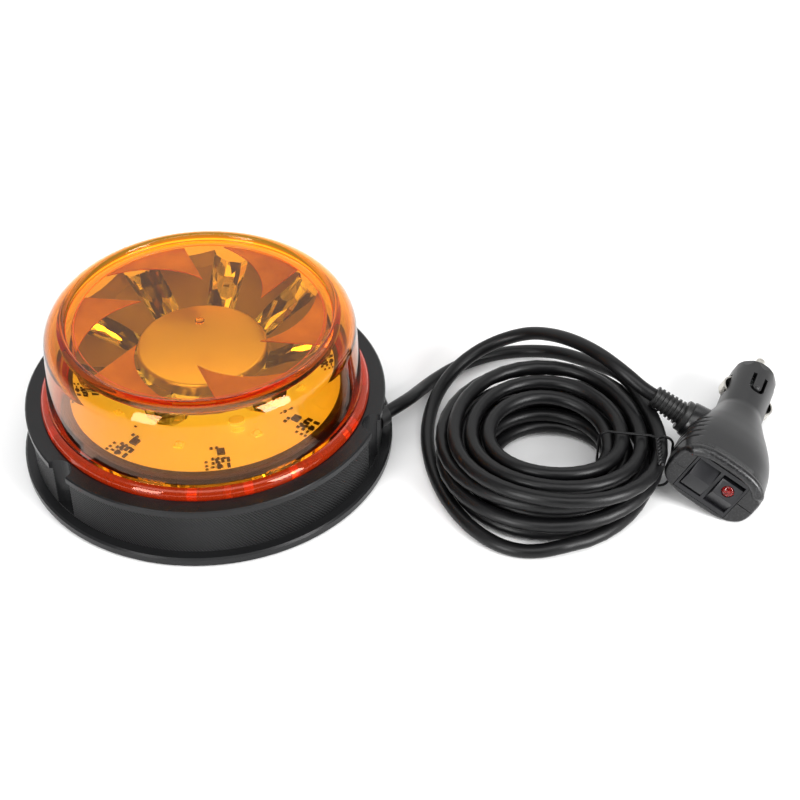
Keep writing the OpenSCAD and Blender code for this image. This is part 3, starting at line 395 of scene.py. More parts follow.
flute_mesh = bpy.data.meshes.new("reflector_flutes")
fan = bmesh.new()
rows = [[fan.verts.new(p) for p in flute_row(*band)] for band in flute_bands]
for near, far in zip(rows, rows[1:]):
    for j in range(len(near)):
        n = (j + 1) % len(near)
        face = fan.faces.new((near[j], far[j], far[n], near[n]))
        face.material_index = int(j % (flute_steps + web_steps) >= flute_steps)
bmesh.ops.solidify(fan, geom=fan.faces[:], thickness=flute_wall * mm)
bmesh.ops.recalc_face_normals(fan, faces=fan.faces)
fan.to_mesh(flute_mesh)
fan.free()
flutes = bpy.data.objects.new("reflector_flutes", flute_mesh)
bpy.context.scene.collection.objects.link(flutes)


def pick(made):
    bpy.ops.object.select_all(action="DESELECT")
    made.select_set(True)
    bpy.context.view_layer.objects.active = made


pick(flutes)
bpy.ops.object.shade_smooth_by_angle(angle=math.radians(9))
facet_wide, facet_long, facet_lean = 0.06, 8, 0.7
chrome, place = new_finish("chrome", metallic=1.0)
haze = place.noise(220, 3)
x, y, z = place.axes()
facet_turn = x.math("ARCTAN2", y, x) * (1 / facet_wide)
facet_at = x.node("CombineXYZ", {0: facet_turn, 1: off_axis(x, y) * (1000 / facet_long)})
facets = x.node("TexVoronoi", {"Vector": facet_at, "Scale": 1, "Randomness": 0.85}, out="Color")
lean = x.node("VectorMath", {0: facets, 1: (0.5, 0.5, 0.5)}, operation="SUBTRACT")
lean = x.node("VectorMath", {0: lean, "Scale": facet_lean}, operation="SCALE")
lean = x.node("VectorMath", {0: x.node("NewGeometry", out="Normal"), 1: lean}, operation="ADD")
# Each facet is coloured at random from near black to near white: painted dark and bright reflections, on top
# of the tilt each facet gives the normal.
painted_reflection = facets.axes()[0].between(0.3, 0.7)
feed(chrome, base_color=painted_reflection.mix((0.1, 0.09, 0.08), (0.97, 0.97, 0.97)), roughness=0.015 + 0.03 * haze,
     normal=x.node("VectorMath", {0: lean}, operation="NORMALIZE"))
flutes.data.materials.append(chrome)
web_satin = grained("web_satin", 90, 3, (0.48, 0.44, 0.44), (0.6, 0.54, 0.54), rough=(0.42, 0.1),
                    metallic=0.55)
flutes.data.materials.append(web_satin)
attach(flutes, "beacon")
dress(chrome, "reflector")


# The lens is a thick clear amber dome with a rounded shoulder and a round recess in its top. It is injection
# moulded, and the gate's nub is left in the middle of its underside.
foot_z, wall_in_r, wall_out_r = 33, 64.8, 67.4
shoulder_at, shoulder_out, shoulder_in = (53.7, 58.8), 11.6, 9
lip_at, lip_round = (57.12, 68.2), 1.6


def arc(centre, r, start, end, steps):
    angles = [math.radians(start + (end - start) * k / steps) for k in range(steps + 1)]
    return [(centre[0] + r * math.cos(a), centre[1] + r * math.sin(a)) for a in angles]


lens_outline = [
    (wall_in_r, foot_z), (wall_out_r, foot_z),
    *arc(shoulder_at, shoulder_out, 0, 70, 20), *arc(lip_at, lip_round, 78, 180, 12),
    (55.52, 67.1), (55.4, 66.75), (55.1, 66.6), (52.1, 66.6), (51.9, 66.35),
    (0, 66.35), (0, 62.9), (1.2, 62.9), (1.7, 63.2), (1.9, 64),
    (57.9, 64), (58.2, 64.3),
    *arc(shoulder_at, shoulder_in, 60, 0, 14),
    (wall_in_r, foot_z)]
lens = lathe("lens_dome_clear", lens_outline, steps=160)

glow_from_r = 55.3
amber, place = new_finish("amber", transmission_weight=1.0, ior=1.49, specular_ior_level=0.35,
                          specular_tint=(1, 0.5, 0.15), coat_weight=0.2, coat_roughness=0.01,
                          emission_strength=0.4)
film = place.noise(14, 2)
x, y, z = place.axes()
# Out from this radius, high on the lens and from the sides to the back, the lens has a painted orange glow
# that stands for light it carries from behind.
back_rim_glow = (off_axis(x, y) > glow_from_r * mm) * z.between(60 * mm, 66 * mm)
back_rim_glow = back_rim_glow * y.between(-20 * mm, 55 * mm)
feed(amber, base_color=film.mix((1, 0.97, 0.9), (1, 1, 1)), roughness=0.01 + 0.02 * film,
     emission_color=back_rim_glow.mix((0, 0, 0), (1, 0.5, 0.04)))
tint = place.node("VolumeAbsorption", {"Color": (0.987, 0.775, 0.05, 1), "Density": 900})
amber.node_tree.links.new(tint.end, amber.node_tree.nodes["Material Output"].inputs["Volume"])
lens.data.materials.append(amber)
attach(lens, "beacon")
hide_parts("lens_dome")


# The lens's foot is a heavy round bead of the same amber plastic, so thick that it looks red.
# It is moulded with the dome, and screws from below draw it down on to the seal.
bead_at, bead_round = (66.95, 29.65), 3.25
bead_outline = [(62.4, 26.4), *arc(bead_at, bead_round, -90, 90, 20), (64.9, 32.9), (64.7, 32.7),
                (64.7, 30.3), (62.4, 30.3), (62.4, 26.4)]
bead = lathe("lens_bead", bead_outline, steps=160)
# The bead has a faint painted red glow, standing for light trapped in it.
red_amber = grained("red_amber", 25, 3, (0.8, 0.035, 0.003), (1, 0.1, 0.012), rough=(0.01, 0.03),
                    transmission_weight=0.85, ior=1.49, specular_tint=(1, 0.35, 0.2), coat_weight=0.35,
                    coat_roughness=0.02, emission_color=(0.55, 0.03, 0.001), emission_strength=0.2)
bead.data.materials.append(red_amber)
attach(bead, "beacon")


# Six frosted blades stand on the underside of the dome's top, turned like those of a fan,
# and their edges and the rim of the recess catch the light and look red.
blade_tip_r, blade_out_r = 29.3, 53
blade_angle, blade_lead, blade_span = 33, 9.5, 41
blade_low, blade_high = 63.35, 63.9
blade_count, rim_steps, back_steps = 6, 8, 20


def plate(name, outline, low, high):
    """A flat piece with an outline of X and Y between two heights, in millimetres."""
    bpy.ops.object.select_all(action="DESELECT")
    bpy.ops.mesh.primitive_plane_add(size=mm)
    made = bpy.context.object
    made.name = name
    bpy.ops.object.mode_set(mode="EDIT")
    bpy.ops.mesh.merge(type="CENTER")
    bpy.ops.transform.translate(value=(outline[0][0] * mm, outline[0][1] * mm, low * mm))
    for (x0, y0), (x1, y1) in zip(outline, outline[1:]):
        step = ((x1 - x0) * mm, (y1 - y0) * mm, 0)
        bpy.ops.mesh.extrude_region_move(TRANSFORM_OT_translate={"value": step})
    bpy.ops.mesh.select_all(action="SELECT")
    bpy.ops.mesh.edge_face_add()
    bpy.ops.mesh.select_all(action="SELECT")
    rise = (0, 0, (high - low) * mm)
    bpy.ops.mesh.extrude_region_move(TRANSFORM_OT_translate={"value": rise})
    bpy.ops.mesh.select_all(action="SELECT")
    bpy.ops.mesh.normals_make_consistent(inside=False)
    bpy.ops.object.mode_set(mode="OBJECT")
    return made


def polar(r, degrees):
    return (r * math.cos(math.radians(degrees)), r * math.sin(math.radians(degrees)))


blade_outline = [polar(blade_tip_r, blade_angle)]
for k in range(rim_steps + 1):
    blade_outline.append(polar(blade_out_r, blade_angle + blade_lead + blade_span * k / rim_steps))
for k in range(1, back_steps):
    back = 1 - k / back_steps
    blade_outline.append(polar(blade_tip_r + (blade_out_r - blade_tip_r) * back,
                               blade_angle + (blade_lead + blade_span) * back))
blades = plate("lens_blades", blade_outline, blade_low, blade_high)
bpy.ops.object.mode_set(mode="EDIT")
bpy.ops.mesh.select_all(action="SELECT")
bpy.ops.mesh.spin(steps=blade_count - 1, angle=math.radians(360 - 360 / blade_count), center=(0, 0, 0),
                  axis=(0, 0, 1), dupli=True)
bpy.ops.object.mode_set(mode="OBJECT")
frosted, place = new_finish("frosted", specular_ior_level=0.2)
frost = place.noise(700, 3)
cloud = place.noise(40, 2)
feed(frosted, base_color=(2.2 * cloud + 0.3 * frost - 0.75).mix((0.55, 0.27, 0.03), (1, 0.66, 0.11)),
     roughness=0.42 + 0.16 * frost)
blades.data.materials.append(frosted)
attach(blades, "beacon")


def wires(name, lines, diameter, sides, closed):
    """Round wires of one diameter along lines of points, in millimetres."""
    curve = bpy.data.curves.new(name, "CURVE")
    curve.dimensions = "3D"
    curve.bevel_depth = diameter / 2 * mm
    curve.bevel_resolution = sides
    curve.use_fill_caps = True
    for points in lines:
        spline = curve.splines.new("POLY")
        spline.points.add(len(points) - 1)
        for knot, p in zip(spline.points, points):
            knot.co = (*(Vector(p) * mm), 1)
        spline.use_cyclic_u = closed
        spline.use_smooth = True
    made = bpy.data.objects.new(name, curve)
    bpy.context.scene.collection.objects.link(made)
    return made


edge_d = 0.36
edge_rings, ring_steps = ((55.35, 66.75), (52, 66.5)), 144
edge_lines = []
for k in range(blade_count):
    turn = Matrix.Rotation(math.radians(360 / blade_count * k), 2)
    edge_lines.append([(*(turn @ Vector(p)), (blade_low + blade_high) / 2) for p in blade_outline])
for ring_r, ring_z in edge_rings:
    edge_lines.append([(*polar(ring_r, 360 / ring_steps * k), ring_z) for k in range(ring_steps)])
edges = wires("lens_edges", edge_lines, edge_d, sides=2, closed=True)
edge_red = grained("edge_red", 90, 2, (0.62, 0.07, 0.01), (0.85, 0.14, 0.02), roughness=0.3)
edges.data.materials.append(edge_red)
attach(edges, "beacon")


# The cord passes through a rubber grommet that is pressed into a hole low in the wall. Its two wires,
# in red sleeves, run up inside and are soldered to the board.
grommet_black = grained("grommet_black", 300, 3, (0.004, 0.004, 0.004), (0.01, 0.01, 0.01),
                        rough=(0.42, 0.15))
dress(grommet_black, "cable_grommet")

wire_red = grained("wire_red", 400, 2, (0.4, 0.02, 0.015), (0.5, 0.03, 0.02), roughness=0.4)
dress(wire_red, "wire_leads")


# The cord is a round black cable with two cores in a soft plastic jacket, about three metres of it.
# It leaves the base through its grommet, lies round behind the coil, winds down through four loose layers
# of loops and comes out below them to go round the left side and over the top to the plug.
cord_d = 6
exit_turn = math.radians(38)
exit_dir = Vector((math.cos(exit_turn), math.sin(exit_turn), 0))
exit_at = Vector((wall_r, 0, 13))
inside_long, straight_long = 12, 1.8
lead_route = [(83, 7, 12.6), (88, 14.5, 10.4), (93.2, 25, 6.6), (100, 35.5, 4), (109, 44.4, 3.2),
              (120, 51, 3.2), (132, 54.8, 3.4), (144, 54.4, 4.8), (155, 49.6, 7.8), (165, 40, 12),
              (174, 28, 17.2), (180, 18, 21.4), (184, 8, 24)]
tail_route = [(140.5, -73.6, 3.6), (132, -73, 3.2), (123.5, -69.4, 3.2), (115, -62, 3.2), (107, -50.5, 3.2),
              (101, -37, 3.2), (97, -21.5, 3.2), (95.4, -5.5, 3.6), (96.6, 9, 5), (101, 22.4, 7.8),
              (109, 33.8, 11.6), (119, 40.6, 16), (130, 42.4, 21.2), (141, 39.4, 27), (151, 31, 32.8),
              (161, 19.4, 37.6), (170, 8, 39.8), (178.6, -1.2, 38.4)]
coil_at = (146.7, -25)
coil_out_r = 45.5
coil_in_r = 25
coil_back, coil_lift = 0.16, 3
coil_low = 4.6
coil_step = 6.5
coil_layers = 4
coil_turns, drop_turn = 2.685, 0.5
coil_angle = 15
turn_points, route_points = 36, 6
coil_shift = ((-1, -1), (0.8, 1.2), (-0.8, 0.6), (1.2, -0.8))
plug_frame = (Matrix.Translation((211.4, -49.5, 17.2)) @ Matrix.Rotation(math.radians(-22), 4, "Z")
              @ Matrix.Rotation(math.radians(-3), 4, "X") @ Matrix.Rotation(math.radians(25.5), 4, "Y"))
arm_y = 29.2
relief_x = (-43.55, -37.55, -16)


def coil_point(turn):
    """A point so many turns from the coil's start. A layer winds in or out, then drops to the next."""
    period = coil_turns + drop_turn
    layer = min(int(turn / period), coil_layers - 1)
    along = turn - layer * period
    share = min(along / coil_turns, 1)
    share = share if layer % 2 == 0 else 1 - share
    drop = max(along - coil_turns, 0) / drop_turn
    level = coil_layers - 1 - layer - drop * drop * (3 - 2 * drop)
    a = math.radians(coil_angle - 360 * turn)
    r = coil_in_r + (coil_out_r * (1 + coil_back * max(math.sin(a), 0) ** 2) - coil_in_r) * (1 - share)
    r += (1 - share) * (1.5 * math.sin(2 * a + 1.1 * level) + 0.6 * math.sin(3 * a - 0.8 * level))
    lift = coil_lift * level / (coil_layers - 1) * max(-math.sin(a), 0) ** 2
    under = min(int(level), coil_layers - 2)
    shift = (1 - share) * Vector(coil_shift[under]).lerp(Vector(coil_shift[under + 1]), level - under)
    return Vector((coil_at[0] + shift[0] + r * math.cos(a), coil_at[1] + shift[1] + r * math.sin(a),
                   coil_low + coil_step * level + lift))


def curve_between(a, b, leave, meet, t):
    return (a * (2 * t ** 3 - 3 * t * t + 1) + leave * (t ** 3 - 2 * t * t + t)
            + b * (3 * t * t - 2 * t ** 3) + meet * (t ** 3 - t * t))


def smooth_line(points, steps):
    points = [Vector(p) for p in points]
    line = []
    for i in range(len(points) - 1):
        a, b = points[i], points[i + 1]
        before = points[i - 1] if i else a * 2 - b
        after = points[i + 2] if i + 2 < len(points) else b * 2 - a
        reach = (b - a).length
        leave = (b - before) * reach / ((a - before).length + reach)
        meet = (after - a) * reach / ((after - b).length + reach)
        for k in range(steps):
            line.append(curve_between(a, b, leave, meet, k / steps))
    return line + [points[-1]]


coil_total = coil_layers * (coil_turns + drop_turn) - drop_turn
loop_count = round(coil_total * turn_points)
loops = [coil_point(coil_total * i / loop_count) for i in range(loop_count + 1)]
start_a = math.radians(coil_angle)
end_a = math.radians(coil_angle - 360 * coil_total)
coil_start = loops[0] - cord_d * Vector((math.sin(start_a), -math.cos(start_a), 0))
coil_end = loops[-1] + cord_d * Vector((math.sin(end_a), -math.cos(end_a), 0))
lead = smooth_line([exit_at - inside_long * exit_dir, exit_at + straight_long * exit_dir, *lead_route,
                    coil_start * 2 - loops[0], coil_start], route_points)
tail = smooth_line([coil_end, coil_end * 2 - loops[-1], *tail_route,
                    *(plug_frame @ Vector((x, arm_y, 0)) for x in relief_x)], route_points)
cord = wires("cord", [lead + loops + tail], cord_d, sides=6, closed=False)

jacket_black, place = new_finish("jacket_black", specular_ior_level=0.27)
scuff = place.noise(90, 4)
pores = place.noise(1400, 2)
feed(jacket_black, base_color=scuff.mix((0.0015, 0.0015, 0.0017), (0.005, 0.005, 0.0055)),
     roughness=0.3 + 0.16 * scuff, normal=pores.bump(0.00004, 0.25))
cord.data.materials.append(jacket_black)
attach(cord, "beacon")
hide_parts("cord_lead", "cord_coil", "cord_tail")


# The twist tie is a steel wire in a thin black sleeve. It goes round the coil's right side once,
# and its two ends are twisted together and lie forward on the top layer.
tie_d = 1.1
tie_angle = math.radians(-8)
tie_out = Vector((math.cos(tie_angle), math.sin(tie_angle), 0))
tie_side = Vector((math.sin(tie_angle), -math.cos(tie_angle), 0))
tie_in_r, tie_out_r = 20.4, 51.2
tie_low, tie_high = 0.65, 28.4
tie_corner = 4
strand_turn, strand_points, strand_step, strand_r = 22.5, 65, 0.25, 0.8


def tie_point(r, z):
    return Vector((*coil_at, z)) + r * tie_out


def tie_arc(r, z, start):
    angles = [math.radians(start + 15 * k) for k in range(7)]
    return [tie_point(r + tie_corner * math.cos(a), z + tie_corner * math.sin(a)) for a in angles]


tie_dir = (tie_side + 0.1 * tie_out + Vector((0, 0, -0.02))).normalized()
tie_across = tie_dir.cross(Vector((0, 0, 1))).normalized()
tie_root = tie_point(tie_out_r - tie_corner - 2.8, tie_high + 0.9) + 2 * tie_dir


def tie_strand(phase):
    turns = [math.radians(strand_turn * k) + phase for k in range(strand_points)]
    return [tie_root + strand_step * k * tie_dir
            + strand_r * (math.cos(a) * tie_across + math.sin(a) * tie_dir.cross(tie_across))
            for k, a in enumerate(turns)]


tie_loop = [tie_point(tie_out_r - tie_corner - 5.6, tie_high),
            *tie_arc(tie_in_r + tie_corner, tie_high - tie_corner, 90),
            *tie_arc(tie_in_r + tie_corner, tie_low + tie_corner, 180),
            *tie_arc(tie_out_r - tie_corner, tie_low + tie_corner, 270),
            *tie_arc(tie_out_r - tie_corner, tie_high - tie_corner, 0)]
tie_line = tie_strand(0)[::-1] + tie_loop + tie_strand(math.pi)
tie = wires("twist_tie_wire", [tie_line], tie_d, sides=3, closed=False)
tie.data.materials.append(jacket_black)
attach(tie, "beacon")
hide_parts("twist_tie")


# The plug's body is moulded in two grey-black halves: a wide rounded head with a raised brow over its face
# and grip ribs on its left side, which narrows to a round barrel, and a short arm on its left for the cord.
shell_sections = [(4, 19.8, 21.1, 17.1, 13.1, 3), (15, 19.6, 20.6, 16.3, 13, 2.9),
                  (23.5, 18.6, 19.2, 15, 12.6, 2.7), (31.5, 16.4, 16.8, 13.3, 12.1, 2.5),
                  (38.5, 13.6, 13.9, 11.9, 11.4, 2.3), (44.5, 11.6, 11.7, 11, 10.9, 2.1),
                  (49.5, 10.5, 10.5, 10.5, 10.5, 2), (62, 10.5, 10.5, 10.5, 10.5, 2),
                  (74, 10.5, 10.5, 10.5, 10.5, 2)]
shell_sides, shell_step = 120, 0.4
body_from, barrel_end = 4, 74
grip_pitch, grip_from, grip_deep = 3.9, 7.7, 0.8


def section_at(y):
    """The shell's reach to the left, right, top and bottom at a depth, and how square its corners are."""
    i = max(k for k in range(len(shell_sections) - 1) if shell_sections[k][0] <= y or k == 0)
    a, b = shell_sections[i], shell_sections[i + 1]
    before = shell_sections[i - 1] if i else a
    after = shell_sections[i + 2] if i + 2 < len(shell_sections) else b
    reach = b[0] - a[0]
    t = (y - a[0]) / reach
    made = []
    for k in range(1, 6):
        leave = (b[k] - before[k]) * reach / max(b[0] - before[0], reach)
        meet = (after[k] - a[k]) * reach / max(after[0] - a[0], reach)
        if b[k] == after[k]:
            meet = 0
        if a[k] == b[k]:
            leave = 0
        made.append(curve_between(a[k], b[k], leave, meet, t))
    return made


def ease(low, high, value):
    share = min(max((value - low) / (high - low), 0), 1)
    return share * share * (3 - 2 * share)


def section_point(y, angle, inset):
    left, right, up, down, power = section_at(max(y, body_from))
    c, n = math.cos(angle), math.sin(angle)
    wide = (right if c >= 0 else left) - inset
    tall = (up if n >= 0 else down) - inset
    return Vector((math.copysign(wide * abs(c) ** (2 / power), c), y,
                   math.copysign(tall * abs(n) ** (2 / power), n)))


def grip_inset(y, angle):
    turn = math.degrees(angle)
    flank = ease(128, 146, turn) * ease(232, 214, turn) * ease(4.5, 6, y) * ease(27, 24, y)
    groove = max(math.cos(2 * math.pi * (y - grip_from) / grip_pitch), 0)
    return grip_deep * flank * groove ** 3


def brow_share(angle):
    turn = math.degrees(angle)
    return ease(12, 34, turn) * ease(164, 136, turn)


lip_steps, plain_round = 14, 1.3
brow_in, brow_out, brow_round = 1.75, -0.5, 2.3
brow_start, brow_sweep = -40, 220
brow_foot = (4.4, 0.4)
plain_turns = [math.radians(90 * k / lip_steps) for k in range(lip_steps + 1)]
plain_edge = [(plain_round * (1 - math.cos(a)), plain_round * (1 - math.sin(a))) for a in plain_turns]
brow_turns = [math.radians(brow_sweep * k / (lip_steps - 1) + brow_start) for k in range(lip_steps)]
brow_edge = [(brow_in - brow_round * math.cos(a), brow_out - brow_round * math.sin(a)) for a in brow_turns]
brow_edge.append(brow_foot)
angles = [2 * math.pi * (k + 0.5) / shell_sides for k in range(shell_sides)]
rings = []
for y in [barrel_end - shell_step * k for k in range(int((barrel_end - body_from) / shell_step) + 1)]:
    rings.append([section_point(y, a, grip_inset(y, a)) for a in angles])
for k in range(lip_steps + 1):
    ring = []
    for a in angles:
        share = brow_share(a)
        inset = plain_edge[k][0] * (1 - share) + brow_edge[k][0] * share
        y = plain_edge[k][1] * (1 - share) + brow_edge[k][1] * share
        ring.append(section_point(y, a, inset))
    rings.append(ring)
shell = bpy.data.meshes.new("plug_body")
loft = bmesh.new()
rows = [[loft.verts.new(plug_frame @ p * mm) for p in ring] for ring in rings]
for near, far in zip(rows, rows[1:]):
    for k in range(shell_sides):
        n = (k + 1) % shell_sides
        loft.faces.new((near[k], near[n], far[n], far[k]))
loft.faces.new(rows[0][::-1])
loft.faces.new(rows[-1])
bmesh.ops.recalc_face_normals(loft, faces=loft.faces)
loft.to_mesh(shell)
loft.free()
plug_body = bpy.data.objects.new("plug_body", shell)
bpy.context.scene.collection.objects.link(plug_body)


def seat(made, where):
    """Moves a piece's mesh to a frame that is given in millimetres."""
    made.data.transform(Matrix.Scale(mm, 4) @ where @ Matrix.Scale(1000, 4))


def box_in_plug(name, low, high):
    bpy.ops.object.select_all(action="DESELECT")
    bpy.ops.mesh.primitive_cube_add(size=mm)
    made = bpy.context.object
    made.name = name
    bpy.ops.object.mode_set(mode="EDIT")
    bpy.ops.transform.resize(value=[b - a for a, b in zip(low, high)])
    bpy.ops.transform.translate(value=[(a + b) / 2 * mm for a, b in zip(low, high)])
    bpy.ops.object.mode_set(mode="OBJECT")
    seat(made, plug_frame)
    return made


def cut(body, tool, operation="DIFFERENCE"):
    bpy.ops.object.select_all(action="DESELECT")
    bpy.context.view_layer.objects.active = body
    change = body.modifiers.new("cut", "BOOLEAN")
    change.operation = operation
    change.solver = "EXACT"
    change.object = tool
    bpy.ops.object.modifier_apply(modifier="cut")
    bpy.data.objects.remove(tool)


bore_outline = [(0, 42), (6, 44), (8.4, 46), (8.4, 76), (0, 76)]
bore = lathe("bore", bore_outline, steps=64)
along_barrel = Matrix.Rotation(math.radians(-90), 4, "X")
bore.data.transform(along_barrel)
seat(bore, plug_frame)
cut(plug_body, bore)
arm_outline = [(0, 8), (9.4, 8), (7.75, 20.2), (7.5, 20.55), (7.2, 20.6), (0, 20.6)]
arm = lathe("arm", arm_outline, steps=96)
arm.data.transform(Matrix.Translation((0, arm_y * mm, 0)) @ Matrix.Rotation(math.radians(-90), 4, "Y"))
seat(arm, plug_frame)
cut(plug_body, arm, "UNION")

slot_in, slot_out, slot_y, slot_end = 2, 3.6, 61.7, 70.5
slot_low, slot_high, slot_steps = 5.5, 12, 20


def slot_round(r, side):
    turns = [math.pi * k / slot_steps for k in range(slot_steps + 1)]
    return [(side * r * math.cos(a), slot_y - r * math.sin(a)) for a in turns]


slot_outline = [(slot_out, slot_end), *slot_round(slot_out, 1), (-slot_out, slot_end),
                (-slot_in, slot_end), *slot_round(slot_in, -1), (slot_in, slot_end)]
u_slot = plate("u_slot", slot_outline, slot_low, slot_high)
seat(u_slot, plug_frame)
cut(plug_body, u_slot)
for name, low, high in (
    ("pocket", (-12.1, -4, -10.35), (13.3, 9.1, 11.55)),
    ("left_window", (-13, 57.4, -2.6), (-7, 70.6, 2.6)),
    ("right_window", (7, 57.4, -2.6), (13, 70.6, 2.6)),
    ("left_parting", (-24, -0.5, -0.16), (-11.5, 0.6, 0.16)),
    ("right_parting", (13, -0.5, -0.16), (24, 0.6, 0.16)),
):
    cut(plug_body, box_in_plug(name, low, high))
pick(plug_body)
bpy.ops.object.shade_smooth_by_angle(angle=math.radians(32))

catch_r, catch_back, catch_high = 1.25, 0.4, 10
bpy.ops.object.select_all(action="DESELECT")
bpy.ops.mesh.primitive_uv_sphere_add(segments=24, ring_count=12, radius=catch_r * mm)
catch = bpy.context.object
catch.data.transform(Matrix.Translation((0, (slot_y - catch_back) * mm, catch_high * mm)))
seat(catch, plug_frame)
cut(plug_body, catch, "UNION")

plug_grey, place = new_finish("plug_grey", specular_ior_level=0.5)
depth = place.along(plug_frame.to_3x3() @ Vector((0, 1, 0)), plug_frame.translation * mm)
front = 1 - depth.between(2 * mm, 4 * mm)
mottle = place.noise(120, 4)
spark = place.noise(2600, 2)
leather = place.noise(1500, 3)
speck = front * (leather.between(0.5, 0.62) - 0.3)
feed(plug_grey, base_color=(0.5 * mottle + speck).mix((0.002, 0.002, 0.0023), (0.018, 0.018, 0.0195)),
     roughness=0.27 + 0.1 * mottle,
     normal=(0.15 * spark + front * leather).bump(0.0003, 0.4))
plug_body.data.materials.append(plug_grey)
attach(plug_body, "beacon")
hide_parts("plug_upper_shell", "plug_lower_shell")


# A ribbed rubber sleeve, moulded on the cord, keeps it from bending sharply where it enters the arm.
# The plug's two halves hold its collar.
relief_black = grained("relief_black", 300, 3, (0.004, 0.004, 0.004), (0.012, 0.012, 0.012),
                       rough=(0.32, 0.15), specular_ior_level=0.45)
dress(relief_black, "strain_relief")


# The two rockers tilt on their own pivots in a frame that is let into the plug's face. All three are moulded
# in dark grey plastic, with small radii along their edges.
def softened(node, name, width, body, finish):
    """A piece with a CAD node's shape, its edges rounded, that stands for the node."""
    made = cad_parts[node].copy()
    made.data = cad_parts[node].data.copy()
    made.name = name
    made.parent = None
    bpy.context.scene.collection.objects.link(made)
    pick(made)
    bpy.ops.object.mode_set(mode="EDIT")
    bpy.ops.mesh.select_all(action="SELECT")
    bpy.ops.mesh.remove_doubles(threshold=0.000002)
    bpy.ops.mesh.dissolve_limited(angle_limit=math.radians(2))
    bpy.ops.object.mode_set(mode="OBJECT")
    change = made.modifiers.new("soften", "BEVEL")
    change.width = width * mm
    change.segments = 3
    change.limit_method = "ANGLE"
    change.angle_limit = math.radians(12)
    bpy.ops.object.modifier_apply(modifier="soften")
    bpy.ops.object.shade_smooth_by_angle(angle=math.radians(30))
    made.data.materials.clear()
    made.data.materials.append(finish)
    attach(made, body)
    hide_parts(node)
    return made


switch_grey, place = new_finish("switch_grey", specular_ior_level=0.38)
mottle = place.noise(150, 4)
spark = place.noise(2800, 2)
feed(switch_grey, base_color=mottle.mix((0.005, 0.005, 0.006), (0.012, 0.012, 0.014)),
     roughness=0.3 + 0.1 * mottle, normal=spark.bump(0.00006, 0.4))
bezel = softened("switch_bezel", "bezel_frame", 0.35, "beacon", switch_grey)
rockers = [softened("power_rocker", "power_rocker_cap", 0.35, "power_rocker", switch_grey),
           softened("mode_rocker", "mode_rocker_cap", 0.25, "mode_rocker", switch_grey)]


# The indicator is a clear red lens that is pressed into the right rocker. Under it lies a cut red jewel,
# which makes it sparkle.
pivot_at, rest_tilt = (6.7, 5.2, 0.6), math.radians(7)
face_at, face_tilt = (0, -6.08, 3.9), math.radians(-90) - math.atan(2.4 / 7.7)
indicator_frame = (plug_frame @ Matrix.Translation(pivot_at) @ Matrix.Rotation(rest_tilt, 4, "X")
                   @ Matrix.Translation(face_at) @ Matrix.Rotation(face_tilt, 4, "X"))
lens_cap_outline = [(0, -0.75), (1.1, -0.66), (2, -0.36), (2.45, 0), (2.68, 0.5), (2.68, 1.2),
                    (2.3, 1.2), (2.2, 0.5), (1.7, 0), (0.9, -0.2), (0, -0.25)]
jewel_outline = [(0, 0.1), (1.2, 0.7), (1.5, 1.5), (2.5, 0.9), (2.62, 1.9), (0, 1.9)]
lens_cap = lathe("indicator_cap", lens_cap_outline, steps=48)
seat(lens_cap, indicator_frame)
clear_red = grained("clear_red", 800, 2, (0.5, 0.01, 0.008), (0.65, 0.02, 0.015),
                    roughness=0.04, transmission_weight=0.9, ior=1.45)
lens_cap.data.materials.append(clear_red)
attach(lens_cap, "mode_rocker")
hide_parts("indicator_lens")

jewel = lathe("indicator_jewel", jewel_outline, steps=10)
bpy.ops.object.shade_flat()
seat(jewel, indicator_frame)
jewel_red = grained("jewel_red", 500, 2, (0.3, 0.003, 0.002), (0.6, 0.01, 0.008),
                    roughness=0.12, metallic=0.5, coat_weight=0.6)
jewel.data.materials.append(jewel_red)
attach(jewel, "mode_rocker")


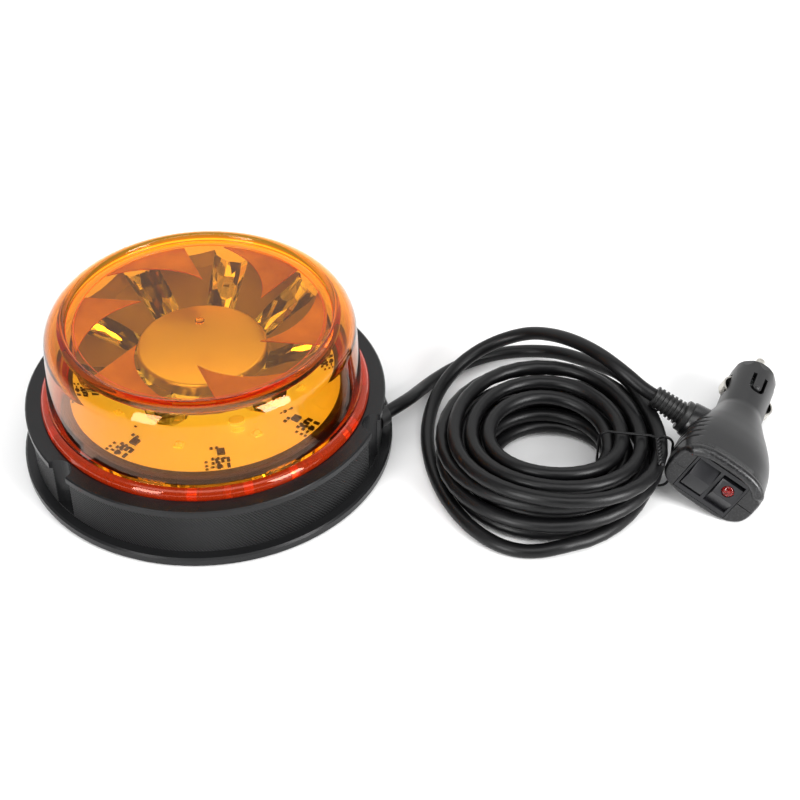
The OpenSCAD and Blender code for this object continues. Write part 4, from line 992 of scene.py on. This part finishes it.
# The two side clips are bent from strip and spring out of the barrel's windows, and the tip is pushed out
# by a coil spring behind the glass fuse that it bears on. The metal is nickel-plated.
nickel = grained("nickel", 500, 3, (0.5, 0.48, 0.44), (0.68, 0.66, 0.61), rough=(0.18, 0.2), metallic=1.0)
dress(nickel, "left_clip", "right_clip", "tip_contact", "tip_spring", "switch_terminals")

fuse_glass = grained("fuse_glass", 300, 2, (0.85, 0.9, 0.9), (0.95, 0.97, 0.97), rough=(0.03, 0.05),
                     transmission_weight=0.8)
dress(fuse_glass, "fuse")


# The nose cap screws on to the barrel's end and holds the tip. Eight shallow flats round its rim
# give the fingers a grip.
cap_r, cap_from, cap_end = 10.2, 74.2, 80.5
cap_hole_r, cap_wall_end = 4.2, cap_end - 2.5
thread_in_r, thread_out_r, thread_from = 6.4, 8.2, cap_from - 2
flat_count, flat_deep, flat_long = 8, 0.62, 4.6
cap_outline = [(cap_hole_r, cap_end), (8.6, cap_end), (9.1, cap_end - 0.1), (9.9, cap_end - 0.7),
               (cap_r, cap_end - 1.4), (cap_r, cap_from), (thread_out_r, cap_from),
               (thread_out_r, thread_from), (thread_in_r, thread_from), (thread_in_r, cap_wall_end),
               (cap_hole_r, cap_wall_end), (cap_hole_r, cap_end)]
cap = lathe("nose_cap_turned", cap_outline, steps=128)
bpy.ops.object.mode_set(mode="EDIT")
lean = math.atan(flat_deep / flat_long)
for k in range(flat_count):
    turn = 2 * math.pi * k / flat_count
    side = Vector((math.cos(turn), math.sin(turn), 0))
    bpy.ops.mesh.select_all(action="SELECT")
    bpy.ops.mesh.bisect(plane_co=((cap_r - flat_deep) * side + Vector((0, 0, cap_end))) * mm,
                        plane_no=math.cos(lean) * side + Vector((0, 0, math.sin(lean))),
                        use_fill=True, clear_outer=True)
bpy.ops.object.mode_set(mode="OBJECT")
bpy.ops.object.shade_smooth_by_angle(angle=math.radians(7))
cap.data.transform(along_barrel)
seat(cap, plug_frame)
cap.data.materials.append(plug_grey)
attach(cap, "nose_cap")
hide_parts("nose_cap")
